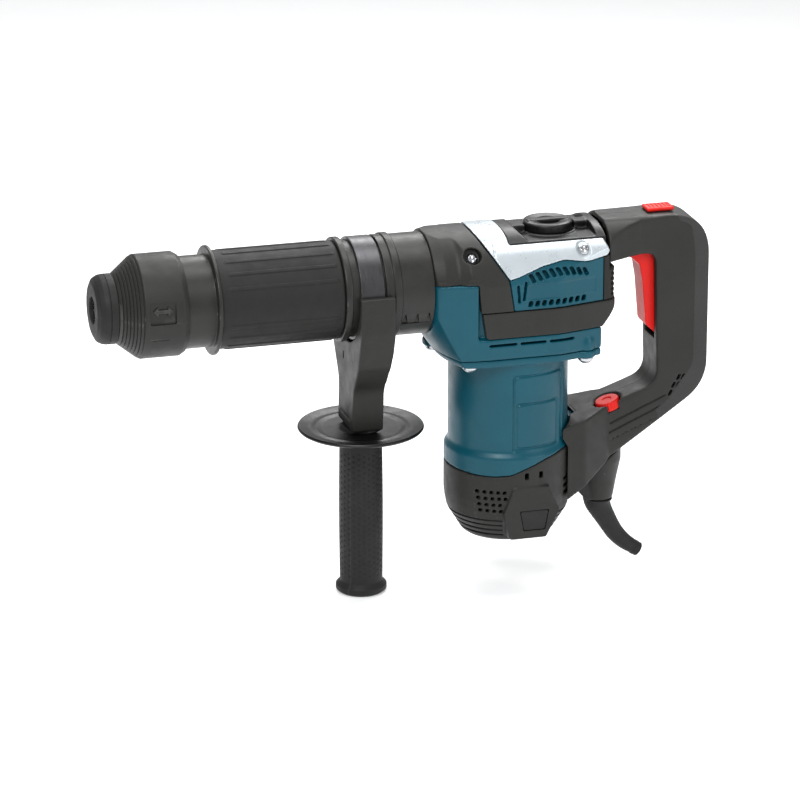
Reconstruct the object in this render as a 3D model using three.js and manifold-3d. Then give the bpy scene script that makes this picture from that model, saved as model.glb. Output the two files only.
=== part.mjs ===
// Electric demolition hammer with a D-handle and a swivelling side handle.
// Every length is in millimetres. The model is laid out along the barrel: X runs from the nose face back to the
// rear grip, Y is across (the left side is -Y) and Z is up from the barrel axis. The whole group is then moved
// so that its origin is the middle of the D-handle's grip.
import * as THREE from 'three';
import { mergeVertices } from 'three/addons/utils/BufferGeometryUtils.js';
import Module from 'manifold-3d';

const wasm = await Module();
wasm.setup();

// ---- driving dimensions ----
const GAP = 0.3;                    // clearance between neighbouring pieces
const GRIP_X = 449;                 // middle of the D-handle's grip
const GRIP_Z = -30;
const TOOL_BORE = 9.2;              // radius of the socket for an 18 mm shank
const SPINDLE_R = 13.5;
const SLEEVE_R = 38.6;              // locking sleeve
const COLLAR_R = 34.3;              // smooth collar that the locking sleeve slides over
const BARREL_END = 249.7;
const BARREL_R = 36;                // barrel under the clamp band
const NECK_R = 38;
const FRONT_WALL_R = 34.4;          // round front wall of the gear housing, inside the shroud
const CYLINDER_R = 24.5;            // outside of the cylinder tube
const PISTON_R = 19.8;
const BAND_FRONT = 193.5;
const BAND_REAR = 211.5;
const HANDLE_X = 203;               // axis of the side grip
const GUARD_TOP = -107.3;
const GUARD_R = 47.75;
const SIDE_GRIP_END = -240;
const BODY_FRONT = 250;
const BODY_REAR = 392;
const BODY_TOP = 39.5;
const BODY_FLOOR = -51;             // seam between gear housing and motor housing
const SKIN = 5;                     // thickness of the covers round the gear housing
const CRANK_X = 284.4;
const CRANK_THROW = 10;
const MOTOR_X = 318;
const MOTOR_A = 48.5;               // half length of the oval motor housing
const MOTOR_B = 45.5;               // half width of the oval motor housing
const MOTOR_BOTTOM = -200.5;
const GEAR_MODULE = 1.4;
const GEAR_TEETH = 40;
const PINION_TEETH = 8;
const PRESSURE_ANGLE = 25 * Math.PI / 180;
const ROD_LENGTH = 56;              // crank pin to wrist pin
const GRIP_HALF = 17.5;             // half width of the D-handle
const WALL = 3;                     // wall of the D-handle shells
const ARM_FRONT = 387;              // front end of the D-handle's upper arm
const ARM_SLOPE = 0.317;            // rise of the lower arm's top edge
const KNOB_X = 348;
const KNOB_TOP = 41;
const COVER_TOP = 33.5;             // floor of the recess that the knob stands in
const COVER_HALF = 30.4;            // half width of the top cover
const TRIM_TOP = 32.2;
const PIVOT_X = 377;                // the D-handle rocks on this pin
const PIVOT_Z = -122;
const DIAL_X = 393.5;
const DIAL_Y = -9;
const GLAND_X = 390.4;
const BRUSH_X = 331;                // brush covers, on both sides of the motor cap
const BRUSH_Z = -174;

// ---- materials ----
const paint = (color, roughness, metalness) => new THREE.MeshStandardMaterial({ color, roughness, metalness });
const BLACK = paint(0x3a3a38, 0.55, 0);
const RUBBER = paint(0x292929, 0.85, 0);
const BLUE = paint(0x10607c, 0.4, 0.1);
const SILVER = paint(0xd7dee1, 0.35, 0.6);
const RED = paint(0xe23226, 0.45, 0);
const STEEL = paint(0x9aa0a3, 0.3, 1);
const DARK_STEEL = paint(0x4a4c4f, 0.35, 1);
const COPPER = paint(0xb0673a, 0.35, 1);
const CARBON = paint(0x1d1d1f, 0.7, 0.1);

// ---- solids ----
// Turns a three.js geometry into a solid that can be cut and joined.
function solid(geometry) {
  geometry.deleteAttribute('normal');
  geometry.deleteAttribute('uv');
  const merged = mergeVertices(geometry, 1e-4);
  const index = merged.index.array;
  const kept = [];
  for (let i = 0; i < index.length; i += 3) {
    const [a, b, c] = [index[i], index[i + 1], index[i + 2]];
    if (a !== b && b !== c && c !== a) kept.push(a, b, c);
  }
  const vertProperties = new Float32Array(merged.attributes.position.array);
  return new wasm.Manifold(new wasm.Mesh({ numProp: 3, vertProperties, triVerts: new Uint32Array(kept) }));
}

function box(x0, x1, y0, y1, z0, z1) {
  const geometry = new THREE.BoxGeometry(x1 - x0, y1 - y0, z1 - z0);
  return solid(geometry.translate((x0 + x1) / 2, (y0 + y1) / 2, (z0 + z1) / 2));
}

// Profiles are lists of [radius, place along the axis].
function lathe(profile, segments) {
  const points = profile.map(([r, h]) => new THREE.Vector2(r, h));
  const closed = profile[0][0] === 0 && profile[profile.length - 1][0] === 0;
  if (!closed) points.push(points[0].clone());
  return new THREE.LatheGeometry(points, segments);
}

const latheX = (profile, segments = 28) => solid(lathe(profile, segments).rotateZ(-Math.PI / 2));

function latheZ(profile, x = 0, y = 0, segments = 28) {
  return solid(lathe(profile, segments).rotateX(Math.PI / 2).translate(x, y, 0));
}

// A round tube between two heights along Z; inner radius 0 makes a rod.
const tubeZ = (x, y, inner, outer, z0, z1, segments = 20) =>
  latheZ([[inner, z0], [outer, z0], [outer, z1], [inner, z1]], x, y, segments);

const rodZ = (x, y, radius, z0, z1, segments = 20) =>
  latheZ([[0, z0], [radius, z0], [radius, z1], [0, z1]], x, y, segments);

const rodY = (x, z, radius, y0, y1, segments = 20) =>
  solid(new THREE.CylinderGeometry(radius, radius, y1 - y0, segments).translate(x, (y0 + y1) / 2, z));

// Outlines are lists of [u, v, corner radius].
function insetCorners(corners, inset) {
  const count = corners.length;
  const lines = corners.map(([u, v], i) => {
    const [u2, v2] = corners[(i + 1) % count];
    const length = Math.hypot(u2 - u, v2 - v);
    const normal = [-(v2 - v) / length, (u2 - u) / length];
    return { u: u + normal[0] * inset, v: v + normal[1] * inset, du: u2 - u, dv: v2 - v };
  });
  return corners.map(([, , radius = 0], i) => {
    const a = lines[(i + count - 1) % count];
    const b = lines[i];
    const cross = a.du * b.dv - a.dv * b.du;
    const t = ((b.u - a.u) * b.dv - (b.v - a.v) * b.du) / cross;
    const turned = cross > 0 ? -inset : inset;
    return [a.u + a.du * t, a.v + a.dv * t, radius > 0 ? Math.max(radius + turned, 0.4) : 0];
  });
}

// A closed outline, listed anticlockwise, with each corner rounded by a curve as wide as an arc of its radius.
function outline(corners) {
  const shape = new THREE.Shape();
  const count = corners.length;
  corners.forEach(([u, v, radius = 0], i) => {
    const [pu, pv] = corners[(i + count - 1) % count];
    const [nu, nv] = corners[(i + 1) % count];
    const before = new THREE.Vector2(pu - u, pv - v).normalize();
    const after = new THREE.Vector2(nu - u, nv - v).normalize();
    const half = Math.acos(THREE.MathUtils.clamp(before.dot(after), -1, 1)) / 2;
    const reach = radius / Math.tan(half);
    const start = [u + before.x * reach, v + before.y * reach];
    if (i === 0) shape.moveTo(...start);
    else shape.lineTo(...start);
    if (radius > 0) shape.quadraticCurveTo(u, v, u + after.x * reach, v + after.y * reach);
  });
  shape.closePath();
  return shape;
}

const extruded = (shape, depth, curveSegments = 5) =>
  new THREE.ExtrudeGeometry(shape, { depth, bevelEnabled: false, curveSegments });

// An outline in X and Y raised along Z.
const prismZ = (corners, z0, z1, steps = 5) =>
  solid(extruded(outline(corners), z1 - z0, steps).translate(0, 0, z0));

// An outline in X and Z run along Y.
const prismY = (corners, y0, y1, steps = 5) =>
  solid(extruded(outline(corners), y1 - y0, steps).rotateX(Math.PI / 2).translate(0, y1, 0));

// An outline in Y and Z run along X.
function prismX(corners, x0, x1, steps = 5) {
  const turn = new THREE.Matrix4().makeBasis(
    new THREE.Vector3(0, 1, 0), new THREE.Vector3(0, 0, 1), new THREE.Vector3(1, 0, 0));
  return solid(extruded(outline(corners), x1 - x0, steps).applyMatrix4(turn).translate(x0, 0, 0));
}

const oval = (a, b, z0, z1, segments = 28) =>
  solid(new THREE.CylinderGeometry(1, 1, z1 - z0, segments).rotateX(Math.PI / 2).scale(a, b, 1)
    .translate(MOTOR_X, 0, (z0 + z1) / 2));

const FAR = 300;
const leftHalf = box(-FAR, 2 * FAR, -FAR, -GAP / 2, -FAR, FAR);
const rightHalf = box(-FAR, 2 * FAR, GAP / 2, FAR, -FAR, FAR);

// The biggest body of a cut solid, without the slivers that a cut can leave.
const largest = (shape) => shape.decompose().sort((a, b) => b.volume() - a.volume())[0];

// ---- the scene ----
const hammer = new THREE.Group();
const model = new THREE.Group();
model.position.set(-GRIP_X, 0, -GRIP_Z);
hammer.add(model);

function piece(name, shape, material) {
  const { vertProperties, triVerts, numProp } = shape.getMesh();
  const geometry = new THREE.BufferGeometry();
  const positions = new Float32Array((vertProperties.length / numProp) * 3);
  for (let i = 0; i < positions.length / 3; i += 1) {
    for (let k = 0; k < 3; k += 1) positions[3 * i + k] = vertProperties[numProp * i + k];
  }
  geometry.setAttribute('position', new THREE.BufferAttribute(positions, 3));
  geometry.setIndex(new THREE.BufferAttribute(triVerts, 1));
  geometry.computeVertexNormals();
  const mesh = new THREE.Mesh(geometry, material);
  mesh.name = name;
  model.add(mesh);
}

// ---- tool holder ----
function toolHolder() {
  const barFront = 40;
  const barRear = 50;
  const barCut = box(barFront - GAP, barRear + GAP, -SPINDLE_R - 1, SPINDLE_R + 1, -3.8, 3.8);
  const spindle = latheX([[TOOL_BORE, 3.3], [SPINDLE_R, 3.3], [SPINDLE_R, 52], [20, 52], [20, 56],
    [SPINDLE_R, 56], [SPINDLE_R, 62], [20, 62], [20, 73], [17, 73], [17, 113.5], [TOOL_BORE, 113.5]], 20);
  piece('tool_holder', spindle.subtract(barCut), STEEL);
  const bar = box(barFront, barRear, 7.6, SPINDLE_R - 0.2, -3.4, 3.4);
  piece('locking_bar_right', bar, STEEL);
  piece('locking_bar_left', bar.mirror([0, 1, 0]), STEEL);
  piece('nose_cap', latheX([[10, 0], [20, 0], [23.6, 2], [25.4, 5.5], [26, 9.5], [26, 15],
    [SPINDLE_R + GAP, 15], [SPINDLE_R + GAP, 3], [10, 3]], 24), RUBBER);
  piece('locking_sleeve', latheX([[SPINDLE_R + 0.6, 15.3], [26, 15.3], [SLEEVE_R, 32], [SLEEVE_R, 61],
    [36.2, 65], [COLLAR_R + 0.6, 65], [COLLAR_R + 0.6, 38], [27, 24], [SPINDLE_R + 0.6, 24]], 28), BLACK);
  piece('sleeve_spring', spring(24.4, 51.6, 17.2, 1.1, 4), STEEL);
}

function spring(x0, x1, radius, wire, turns) {
  class Helix extends THREE.Curve {
    getPoint(t, target = new THREE.Vector3()) {
      const angle = 2 * Math.PI * turns * t;
      const x = x0 + wire + 0.2 + (x1 - x0 - 2 * wire - 0.4) * t;
      return target.set(x, radius * Math.cos(angle), radius * Math.sin(angle));
    }
  }
  const wireShape = new THREE.Shape().absarc(0, 0, wire, 0, 2 * Math.PI);
  return solid(new THREE.ExtrudeGeometry(wireShape, {
    steps: 12 * turns, curveSegments: 2, bevelEnabled: false, extrudePath: new Helix() }));
}

// ---- barrel and hammer mechanism ----
function barrel() {
  piece('barrel_housing', latheX([[20.6, 60], [COLLAR_R, 60], [COLLAR_R, 86], [40.6, 86], [40.6, 89],
    [33, 89], [33, 182.4], [39, 182.4], [39, 187.6], [BARREL_R, 188.4], [BARREL_R, 213], [38.4, 213],
    [38.4, 219.5], [39.4, 220.2], [39.4, 224.5], [NECK_R, 225.5], [NECK_R, BARREL_END],
    [CYLINDER_R + GAP, BARREL_END], [CYLINDER_R + GAP, 146.5], [15.4, 146.5], [15.4, 114], [17.6, 114], [17.6, 74], [20.6, 74]], 28), BLACK);
  piece('barrel_grip_sleeve', latheX([[33.3, 89.3], [37.2, 89.3], [37.2, 182], [33.3, 182]], 32), RUBBER);
  piece('cylinder_tube', latheX([[PISTON_R + GAP + 0.2, 147], [CYLINDER_R, 147], [CYLINDER_R, 249],
    [PISTON_R + GAP + 0.2, 249]], 20), STEEL);
  piece('impact_bolt', latheX([[0, 98], [8, 98], [8.6, 99], [8.6, 118.2], [14.9, 121.2], [14.9, 134],
    [9.7, 137], [9.7, 143], [0, 143]], 16), STEEL);
  piece('striker', latheX([[0, 151], [9, 151], [9, 156], [PISTON_R, 158], [PISTON_R, 178.5],
    [0, 178.5]], 20), STEEL);
  piece('piston', latheX([[0, 184], [PISTON_R, 184], [PISTON_R, 240], [16.6, 240], [16.6, 192],
    [0, 192]], 20), STEEL);
}

// The crank stands at its front dead centre, so the rod lies along the barrel.
function connectingRod() {
  const pinX = CRANK_X - CRANK_THROW;
  const wristX = pinX - ROD_LENGTH;
  const rod = rodZ(pinX, 0, 9, -6, 6, 20).add(rodZ(wristX, 0, 5.1, -6, 6, 20))
    .add(box(wristX, pinX, -4, 4, -5, 5)).add(rodZ(wristX, 0, 3.4, -9, 9, 16));
  piece('connecting_rod', rod.subtract(rodZ(pinX, 0, 5 + GAP, -7, 7, 20)), STEEL);
}

// An involute spur gear outline; shift widens or narrows the teeth and moves them out or in.
function gearShape(teeth, shift, backlash, phase) {
  const pitch = GEAR_MODULE * teeth / 2;
  const base = pitch * Math.cos(PRESSURE_ANGLE);
  const tip = pitch + GEAR_MODULE * (0.92 + shift);
  const root = pitch - GEAR_MODULE * (1.2 - shift);
  const involute = (angle) => Math.tan(angle) - angle;
  const halfPitchTooth = Math.PI / (2 * teeth) + 2 * shift * Math.tan(PRESSURE_ANGLE) / teeth
    - backlash / (2 * pitch);
  const halfTooth = (r) => halfPitchTooth + involute(PRESSURE_ANGLE)
    - involute(Math.acos(Math.min(base / r, 1)));
  const start = Math.max(base, root);
  const radii = [start, (start + tip) / 2, tip];
  const shape = new THREE.Shape();
  const point = (r, angle) => [r * Math.cos(angle), r * Math.sin(angle)];
  for (let tooth = 0; tooth < teeth; tooth += 1) {
    const middle = phase + tooth * 2 * Math.PI / teeth;
    const rise = radii.map((r) => point(r, middle - halfTooth(r)));
    const fall = [...radii].reverse().map((r) => point(r, middle + halfTooth(r)));
    const spare = 0.3 * (Math.PI / teeth - halfTooth(start));
    const foot = point(root, middle - halfTooth(start) - spare);
    const heel = point(root, middle + halfTooth(start) + spare);
    [foot, ...rise, ...fall, heel].forEach(([u, v], i) => {
      if (tooth === 0 && i === 0) shape.moveTo(u, v);
      else shape.lineTo(u, v);
    });
  }
  shape.closePath();
  return shape;
}

function crank() {
  const shift = 0.3;
  const gear = solid(extruded(gearShape(GEAR_TEETH, -shift, 0.12, 0), 10).translate(CRANK_X, 0, -36.5));
  const pinX = CRANK_X - CRANK_THROW;
  const web = rodZ(CRANK_X, 0, 8, -45.5, -36, 24).add(rodZ(CRANK_X, 0, 16, -27, -7, 28));
  piece('crank_gear', gear.add(web).add(rodZ(pinX, 0, 5, -8, 8, 20)), STEEL);
  piece('crank_bearing', tubeZ(CRANK_X, 0, 8.3, 15, -45.7, -38, 24), DARK_STEEL);
  const pinionPhase = Math.PI + Math.PI / PINION_TEETH;
  const pinion = extruded(gearShape(PINION_TEETH, shift, 0.12, pinionPhase), 15).translate(MOTOR_X, 0, -39);
  const shaft = rodZ(MOTOR_X, 0, 6, -192, -40, 20).add(rodZ(MOTOR_X, 0, 3.8, -41, -38, 16));
  piece('armature_shaft', shaft.add(solid(pinion)), STEEL);
}

function motor() {
  const ring = (name, inner, outer, z0, z1, material, segments = 20) =>
    piece(name, tubeZ(MOTOR_X, 0, inner, outer, z0, z1, segments), material);
  const shaftHole = 6 + GAP;
  ring('armature_core', shaftHole, 23.5, -135, -75, DARK_STEEL);
  ring('commutator', shaftHole, 15, -170, -150, COPPER);
  ring('stator_core', 24.6, 40, -135, -76, DARK_STEEL);
  ring('field_winding', 27, 38, -75.7, -68.3, COPPER);
  ring('motor_bearing_upper', shaftHole, 14, -59, -51.5, STEEL);
  ring('motor_bearing_lower', shaftHole, 12, -190, -182, STEEL);
  let fan = tubeZ(MOTOR_X, 0, shaftHole, 12, -67.5, -60).add(tubeZ(MOTOR_X, 0, 11, 36, -62, -60, 24));
  const blades = 8;
  for (let i = 0; i < blades; i += 1) {
    const blade = box(14, 35, -0.8, 0.8, -67, -61).rotate([0, 0, 360 * i / blades]);
    fan = fan.add(blade.translate([MOTOR_X, 0, 0]));
  }
  piece('fan', fan, BLACK);
  const brush = box(MOTOR_X - 4, MOTOR_X + 4, 15.4, 32, -166, -154);
  piece('carbon_brush_right', brush, CARBON);
  piece('carbon_brush_left', brush.mirror([0, 1, 0]), CARBON);
}

// ---- main housing ----
const PLAN = [[BODY_FRONT, -40, 8], [288, -47, 30], [345, -47, 30], [BODY_REAR, -36, 14], [BODY_REAR, 36, 14],
  [345, 47, 30], [288, 47, 30], [BODY_FRONT, 40, 8]];
const plan = (inset, z0, z1) => prismZ(insetCorners(PLAN, inset), z0, z1, 3);

// The space that the covers fill, drawn in by an inset: the plan under an arched top, round in front like the
// barrel.
function envelope(inset) {
  const half = 48 - inset;
  const top = BODY_TOP - inset;
  const arch = prismX([[-half, -90], [half, -90], [half, top, 46 - inset], [-half, top, 46 - inset]],
    BODY_FRONT - 5, BODY_REAR + 5, 8);
  const collar = latheX([[0, 245], [40 - inset, 245], [40 - inset, 251], [41.8 - inset, 258],
    [41.8 - inset, 268], [47 - inset, 276], [64 - inset, 286], [100, 300], [100, 400], [0, 400]], 36);
  return plan(inset, -80, 60).intersect(arch).intersect(collar);
}

// The blue castings widen from the barrel towards the motor flange.
const frontCone = latheX([[0, 245], [40, 245], [40, BODY_FRONT], [140, BODY_FRONT + 70], [140, 400],
  [0, 400]], 36);

const outside = envelope(0);
const inside = envelope(SKIN + GAP);
const skin = (region, cover = outside) => cover.subtract(inside).intersect(prismY(region, -70, 70));

function gearHousing() {
  const lower = [[BODY_FRONT - 1, BODY_FLOOR], [379, BODY_FLOOR], [379, -34.6], [BODY_FRONT - 1, -34.6]];
  const skirt = plan(0, BODY_FLOOR, -34.6).intersect(prismY(lower, -60, 60)).intersect(frontCone);
  const front = plan(0, -35, 7.5).intersect(box(BODY_FRONT - 1, 281, -60, 60, -35, 7.5)).intersect(frontCone);
  const rearCut = prismY([[379, -36], [393, -19], [400, -19], [400, -52], [379, -52]], -60, 60);
  const core = envelope(SKIN + 2 * GAP).intersect(box(BODY_FRONT, 400, -60, 60, BODY_FLOOR, 25))
    .subtract(rearCut.translate([-SKIN, 0, 0]));
  const cavity = envelope(SKIN + 4).intersect(box(BODY_FRONT, 379, -60, 60, -46, 21))
    .subtract(rearCut.translate([-SKIN - 4, 0, 0])).add(rodZ(CRANK_X, 0, 18, -46, -20, 28));
  const frontWall = latheX([[0, BODY_FRONT], [FRONT_WALL_R, BODY_FRONT], [FRONT_WALL_R, 257], [0, 257]], 36);
  let housing = core.add(skirt).add(front).add(frontWall).subtract(cavity);
  housing = housing.subtract(latheX([[0, 245], [CYLINDER_R, 245], [CYLINDER_R, 262], [0, 262]], 28));
  housing = housing.add(tubeZ(CRANK_X, 0, 15 + GAP, 18, -46.5, -40, 24));
  housing = housing.subtract(rodZ(MOTOR_X, 0, 8, -52, -45, 24));
  housing = housing.subtract(rodZ(KNOB_X, 0, 6.4, 15, 30, 20));
  FLANGE_SCREWS.forEach(([x, y]) => {
    housing = housing.add(rodZ(x, y, 6.5, BODY_FLOOR, -44, 16));
    housing = housing.subtract(rodZ(x, y, 2.6, -52, -45.5, 12));
  });
  const handleRoom = box(383, 400, -60, 60, 9, 30);
  piece('gear_housing', housing.subtract(cavityKeep()).subtract(handleRoom), BLUE);
}

// Room for the crank gear, which reaches almost to the walls.
const cavityKeep = () => tubeZ(CRANK_X, 0, 18, 30.4, -38, -20, 28);

const FLANGE_SCREWS = [[278, -34], [367, -37], [265, 23], [367, 37]];

function covers() {
  piece('front_shroud', skin([[BODY_FRONT - 1, 7.8], [281.3, 7.8], [283.3, -14], [308, -14], [304, 9.7],
    [280, 46], [BODY_FRONT - 1, 46]])
    .subtract(latheX([[0, 245], [FRONT_WALL_R + GAP, 245], [FRONT_WALL_R + GAP, 257.5], [0, 257.5]], 36))
    .subtract(box(249, 281.3, -70, 70, -60, 7.8)), BLACK);
  const trimRegion = [[280.4, 46.5], [304.4, 10], [312, 11.5], [330, 17.7], [348, 21.2], [367, 18.1],
    [383.6, 21], [384.6, 24], [380, TRIM_TOP], [308.6, TRIM_TOP], [308.3, 46.5]];
  const topRoom = box(308.6, 390, -COVER_HALF - GAP, COVER_HALF + GAP, 20, 60);
  piece('side_trim', skin(trimRegion).subtract(topRoom), SILVER);
  const bed = outside.intersect(box(308.9, 384, -COVER_HALF, COVER_HALF, 25.3, COVER_TOP));
  const slope = prismY([[308.9, 25.3], [324, 25.3], [324, COVER_TOP], [312, 46], [308.9, 46]], -60, 60);
  const rise = outside.intersect(slope).intersect(box(300, 330, -COVER_HALF, COVER_HALF, 20, 60));
  const rear = outside.intersect(box(378, 384, -COVER_HALF, COVER_HALF, 25.3, 60));
  const wings = box(318, 328, -5, 5, 33, 39).add(box(368, 378.5, -5, 5, 33, 39));
  piece('top_cover', bed.add(rise).add(rear).add(wings).subtract(rodZ(KNOB_X, 0, 6.4, 20, 40, 20)), BLACK);
  const vent = skin([[308.4, -14], [304.8, 9.4], [312, 11.1], [330, 17.3], [348, 20.8], [367, 17.7],
    [380, 19.5], [380, -14]]);
  piece('vent_panel_left', vent.intersect(leftHalf), BLUE);
  piece('vent_panel_right', vent.intersect(rightHalf), BLUE);
  piece('side_strip', skin([[284, -14.3], [BODY_REAR + 1, -14.3], [BODY_REAR + 1, -19], [379, -34.3],
    [287, -34.3]]).subtract(box(280, 300, -39.2, 39.2, -40, 0)), BLACK);
  piece('rear_cap', skin([[380.3, -14], [BODY_REAR + 1, -14], [BODY_REAR + 1, 9], [385, 9], [385, 20.2],
    [380.3, 19.5]]).subtract(box(370, 400, -60, 60, 9, 25).subtract(box(380, 385, -60, 60, 0, 30))), RUBBER);
}

// The seam between motor housing and cap, seen from the side: low in front and stepping up towards the rear.
const SEAM = [[265, -143.5], [282, -145.2], [296, -145.5], [308, -144.2], [320, -139.5], [335, -134],
  [349, -131], [371, -131]];
const BAND_TOP = -129.5;            // the motor housing stands proud below this height
const WAIST = 0.938;                // how far it draws in above

function motorCase() {
  const below = [[264, -210], [372, -210], ...[...SEAM].reverse()];
  const above = [...SEAM.map(([x, z]) => [x, z + GAP]), [372, -40], [264, -40]];
  const flange = plan(1, -57, BODY_FLOOR - GAP).intersect(box(255, 379, -60, 60, -60, -50))
    .intersect(frontCone);
  const barrelPart = oval(MOTOR_A, MOTOR_B, -150, BAND_TOP)
    .add(oval(MOTOR_A * WAIST, MOTOR_B * WAIST, BAND_TOP - 1, -56));
  const bore = oval(MOTOR_A - 4, MOTOR_B - 4, -150, BAND_TOP - 1).add(oval(42, 40.6, -150, -60));
  let housing = barrelPart.intersect(prismY(above, -60, 60)).add(flange).subtract(bore);
  housing = housing.subtract(rodZ(MOTOR_X, 0, 14.3, -61, -51.1, 24));
  housing = housing.subtract(rodZ(MOTOR_X, 0, 8, -62, -50, 24));
  housing = housing.add(box(364.5, 386, -7, 7, -130, -114)).subtract(rodY(PIVOT_X, PIVOT_Z, 4.2, -10, 10));
  FLANGE_SCREWS.forEach(([x, y]) => {
    housing = housing.add(rodZ(x, y, 6.5, -57, BODY_FLOOR - GAP, 16));
    housing = housing.subtract(rodZ(x, y, 2.6, -60, -50, 12));
  });
  piece('motor_housing', housing, BLUE);
  const bell = (inset, bottom) => solid(lathe([[0, bottom], [0.68, bottom], [0.74, bottom + 2.5],
    [0.84, bottom + 11], [0.94, bottom + 21.5], [1, bottom + 31], [1, -120], [0, -120]], 28)
    .rotateX(Math.PI / 2).scale(MOTOR_A - inset, MOTOR_B - inset, 1).translate(MOTOR_X, 0, 0));
  let cap = bell(0, MOTOR_BOTTOM).intersect(prismY(below, -60, 60)).subtract(bell(4, MOTOR_BOTTOM + 4));
  cap = cap.add(tubeZ(MOTOR_X, 0, 12 + GAP, 15, -197, -184, 24));
  const seat = rodY(BRUSH_X, BRUSH_Z, 9, 42.8, 60, 20);
  cap = cap.subtract(rodY(BRUSH_X, BRUSH_Z, 6.3, -60, 60, 16));
  cap = cap.subtract(seat).subtract(seat.mirror([0, 1, 0]));
  piece('motor_cap', cap, BLACK);
  const plug = rodY(BRUSH_X, BRUSH_Z, 6, 33, 43.5, 16).add(rodY(BRUSH_X, BRUSH_Z, 8.5, 43.2, 46, 6));
  piece('brush_cover_right', plug, BLACK);
  piece('brush_cover_left', plug.mirror([0, 1, 0]), BLACK);
  FLANGE_SCREWS.forEach(([x, y], i) => {
    const screw = rodZ(x, y, 2.3, -58, -46, 12).add(rodZ(x, y, 4.4, -61, -57.3, 12));
    piece(`flange_screw_${i + 1}`, screw, STEEL);
  });
}

function selectorKnob() {
  const knob = rodZ(KNOB_X, 0, 18.4, COVER_TOP + GAP, KNOB_TOP, 36).add(rodZ(KNOB_X, 0, 6, 22, 35, 20));
  const groove = box(KNOB_X - 14, KNOB_X + 14, 4, 9, KNOB_TOP - 2, KNOB_TOP + 1);
  piece('selector_knob', knob.subtract(groove).subtract(groove.mirror([0, 1, 0])), BLACK);
}

// ---- side handle ----
function sideHandle() {
  const band = latheX([[BARREL_R + GAP, BAND_FRONT], [38.5, BAND_FRONT], [38.5, BAND_REAR],
    [BARREL_R + GAP, BAND_REAR]], 32);
  const loop = box(196, 209, -8, 8, -58, -37).subtract(box(195, 210, -5.6, 5.6, -54, -44));
  const boltHole = rodZ(HANDLE_X, 0, 4.4, -60, -50, 16);
  piece('clamp_band', band.add(loop).subtract(boltHole).subtract(
    latheX([[0, 190], [BARREL_R + GAP, 190], [BARREL_R + GAP, 215], [0, 215]], 32)), DARK_STEEL);
  const half = [[20, GUARD_TOP + GAP], [21.5, -75, 20], [36, -52, 16], [45, -26, 20], [45, 4]];
  const whole = [...half, ...[...half].reverse().map(([y, z, r]) => [-y, z, r])];
  const arm = prismX(whole, 191.5, 217.5).intersect(prismY([[191.5, 5], [191.5, -80], [190.5, -110],
    [215, -110], [215.5, -75, 20], [218, -40], [218, 5]], -60, 60));
  const saddle = latheX([[0, 180], [39.6, 180], [39.6, 230], [0, 230]], 32);
  const pocket = box(194.8, 210.2, -9, 9, -60, -30);
  piece('handle_yoke', arm.subtract(saddle).subtract(pocket)
    .subtract(rodZ(HANDLE_X, 0, 4.6, -120, -50, 16)), BLACK);
  piece('guard_disc', latheZ([[4.6, -113.3], [16, -113.3], [38, -112.3], [46.5, -110.6], [GUARD_R, -108.6],
    [46.5, -107.3], [38, -109.8], [15, -110.6], [15, GUARD_TOP], [4.6, GUARD_TOP]], HANDLE_X, 0, 28), BLACK);
  piece('side_grip', latheZ([[0, SIDE_GRIP_END], [16.5, SIDE_GRIP_END], [19.3, -237.5], [19.3, -234],
    [16.6, -229], [16.5, -120], [15, -117], [12, -116], [12, -113.6], [4.6, -113.6], [4.6, -158],
    [0, -158]], HANDLE_X, 0, 20), RUBBER);
  piece('clamp_bolt', rodZ(HANDLE_X, 0, 3.9, -150, -50, 16).add(box(197, 209, -5, 5, -53.6, -49)), STEEL);
}

// ---- D-handle ----
// The side view of the D: an upper arm, the grip, and a lower arm that slopes down to the motor housing.
const D_OUTLINE = [[355, -174.5, 0], [471, -94.5, 38], [471, 41, 34], [ARM_FRONT, 41, 0], [ARM_FRONT, 12, 0],
  [428, 12, 8], [431, -91, 16], [355, -115.2, 0]];

function dSolid(inset) {
  const width = GRIP_HALF - inset;
  const bevel = 5;
  const corners = insetCorners(D_OUTLINE, inset);
  const core = solid(new THREE.ExtrudeGeometry(outline(corners), {
    depth: 2 * width - 2 * bevel, bevelEnabled: true, bevelThickness: bevel, bevelSize: bevel,
    bevelOffset: -bevel, bevelSegments: 2, curveSegments: 4 })
    .rotateX(Math.PI / 2).translate(0, width - bevel, 0));
  const front = inset ? ARM_FRONT - 1 : ARM_FRONT;
  const flare = [[front, -31.5 + inset], [404, -23 + inset], [420, -16 + inset], [420, 16 - inset],
    [404, 23 - inset], [front, 31.5 - inset]];
  const half = 34 - inset;
  const reach = 30 - inset;
  const root = prismZ(flare, 12 + inset, 41 - inset).intersect(prismX([[-half, 0], [half, 0],
    [half, 41 - inset, reach], [-half, 41 - inset, reach]], 380, 425, 6));
  const spread = 31 - inset;
  const lower = prismZ([[350, -spread], [370, -spread], [396, -17 + inset], [396, 17 - inset], [370, spread],
    [350, spread]], -180, -90).intersect(prismY(corners, -60, 60));
  return core.add(root).add(lower);
}

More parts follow.
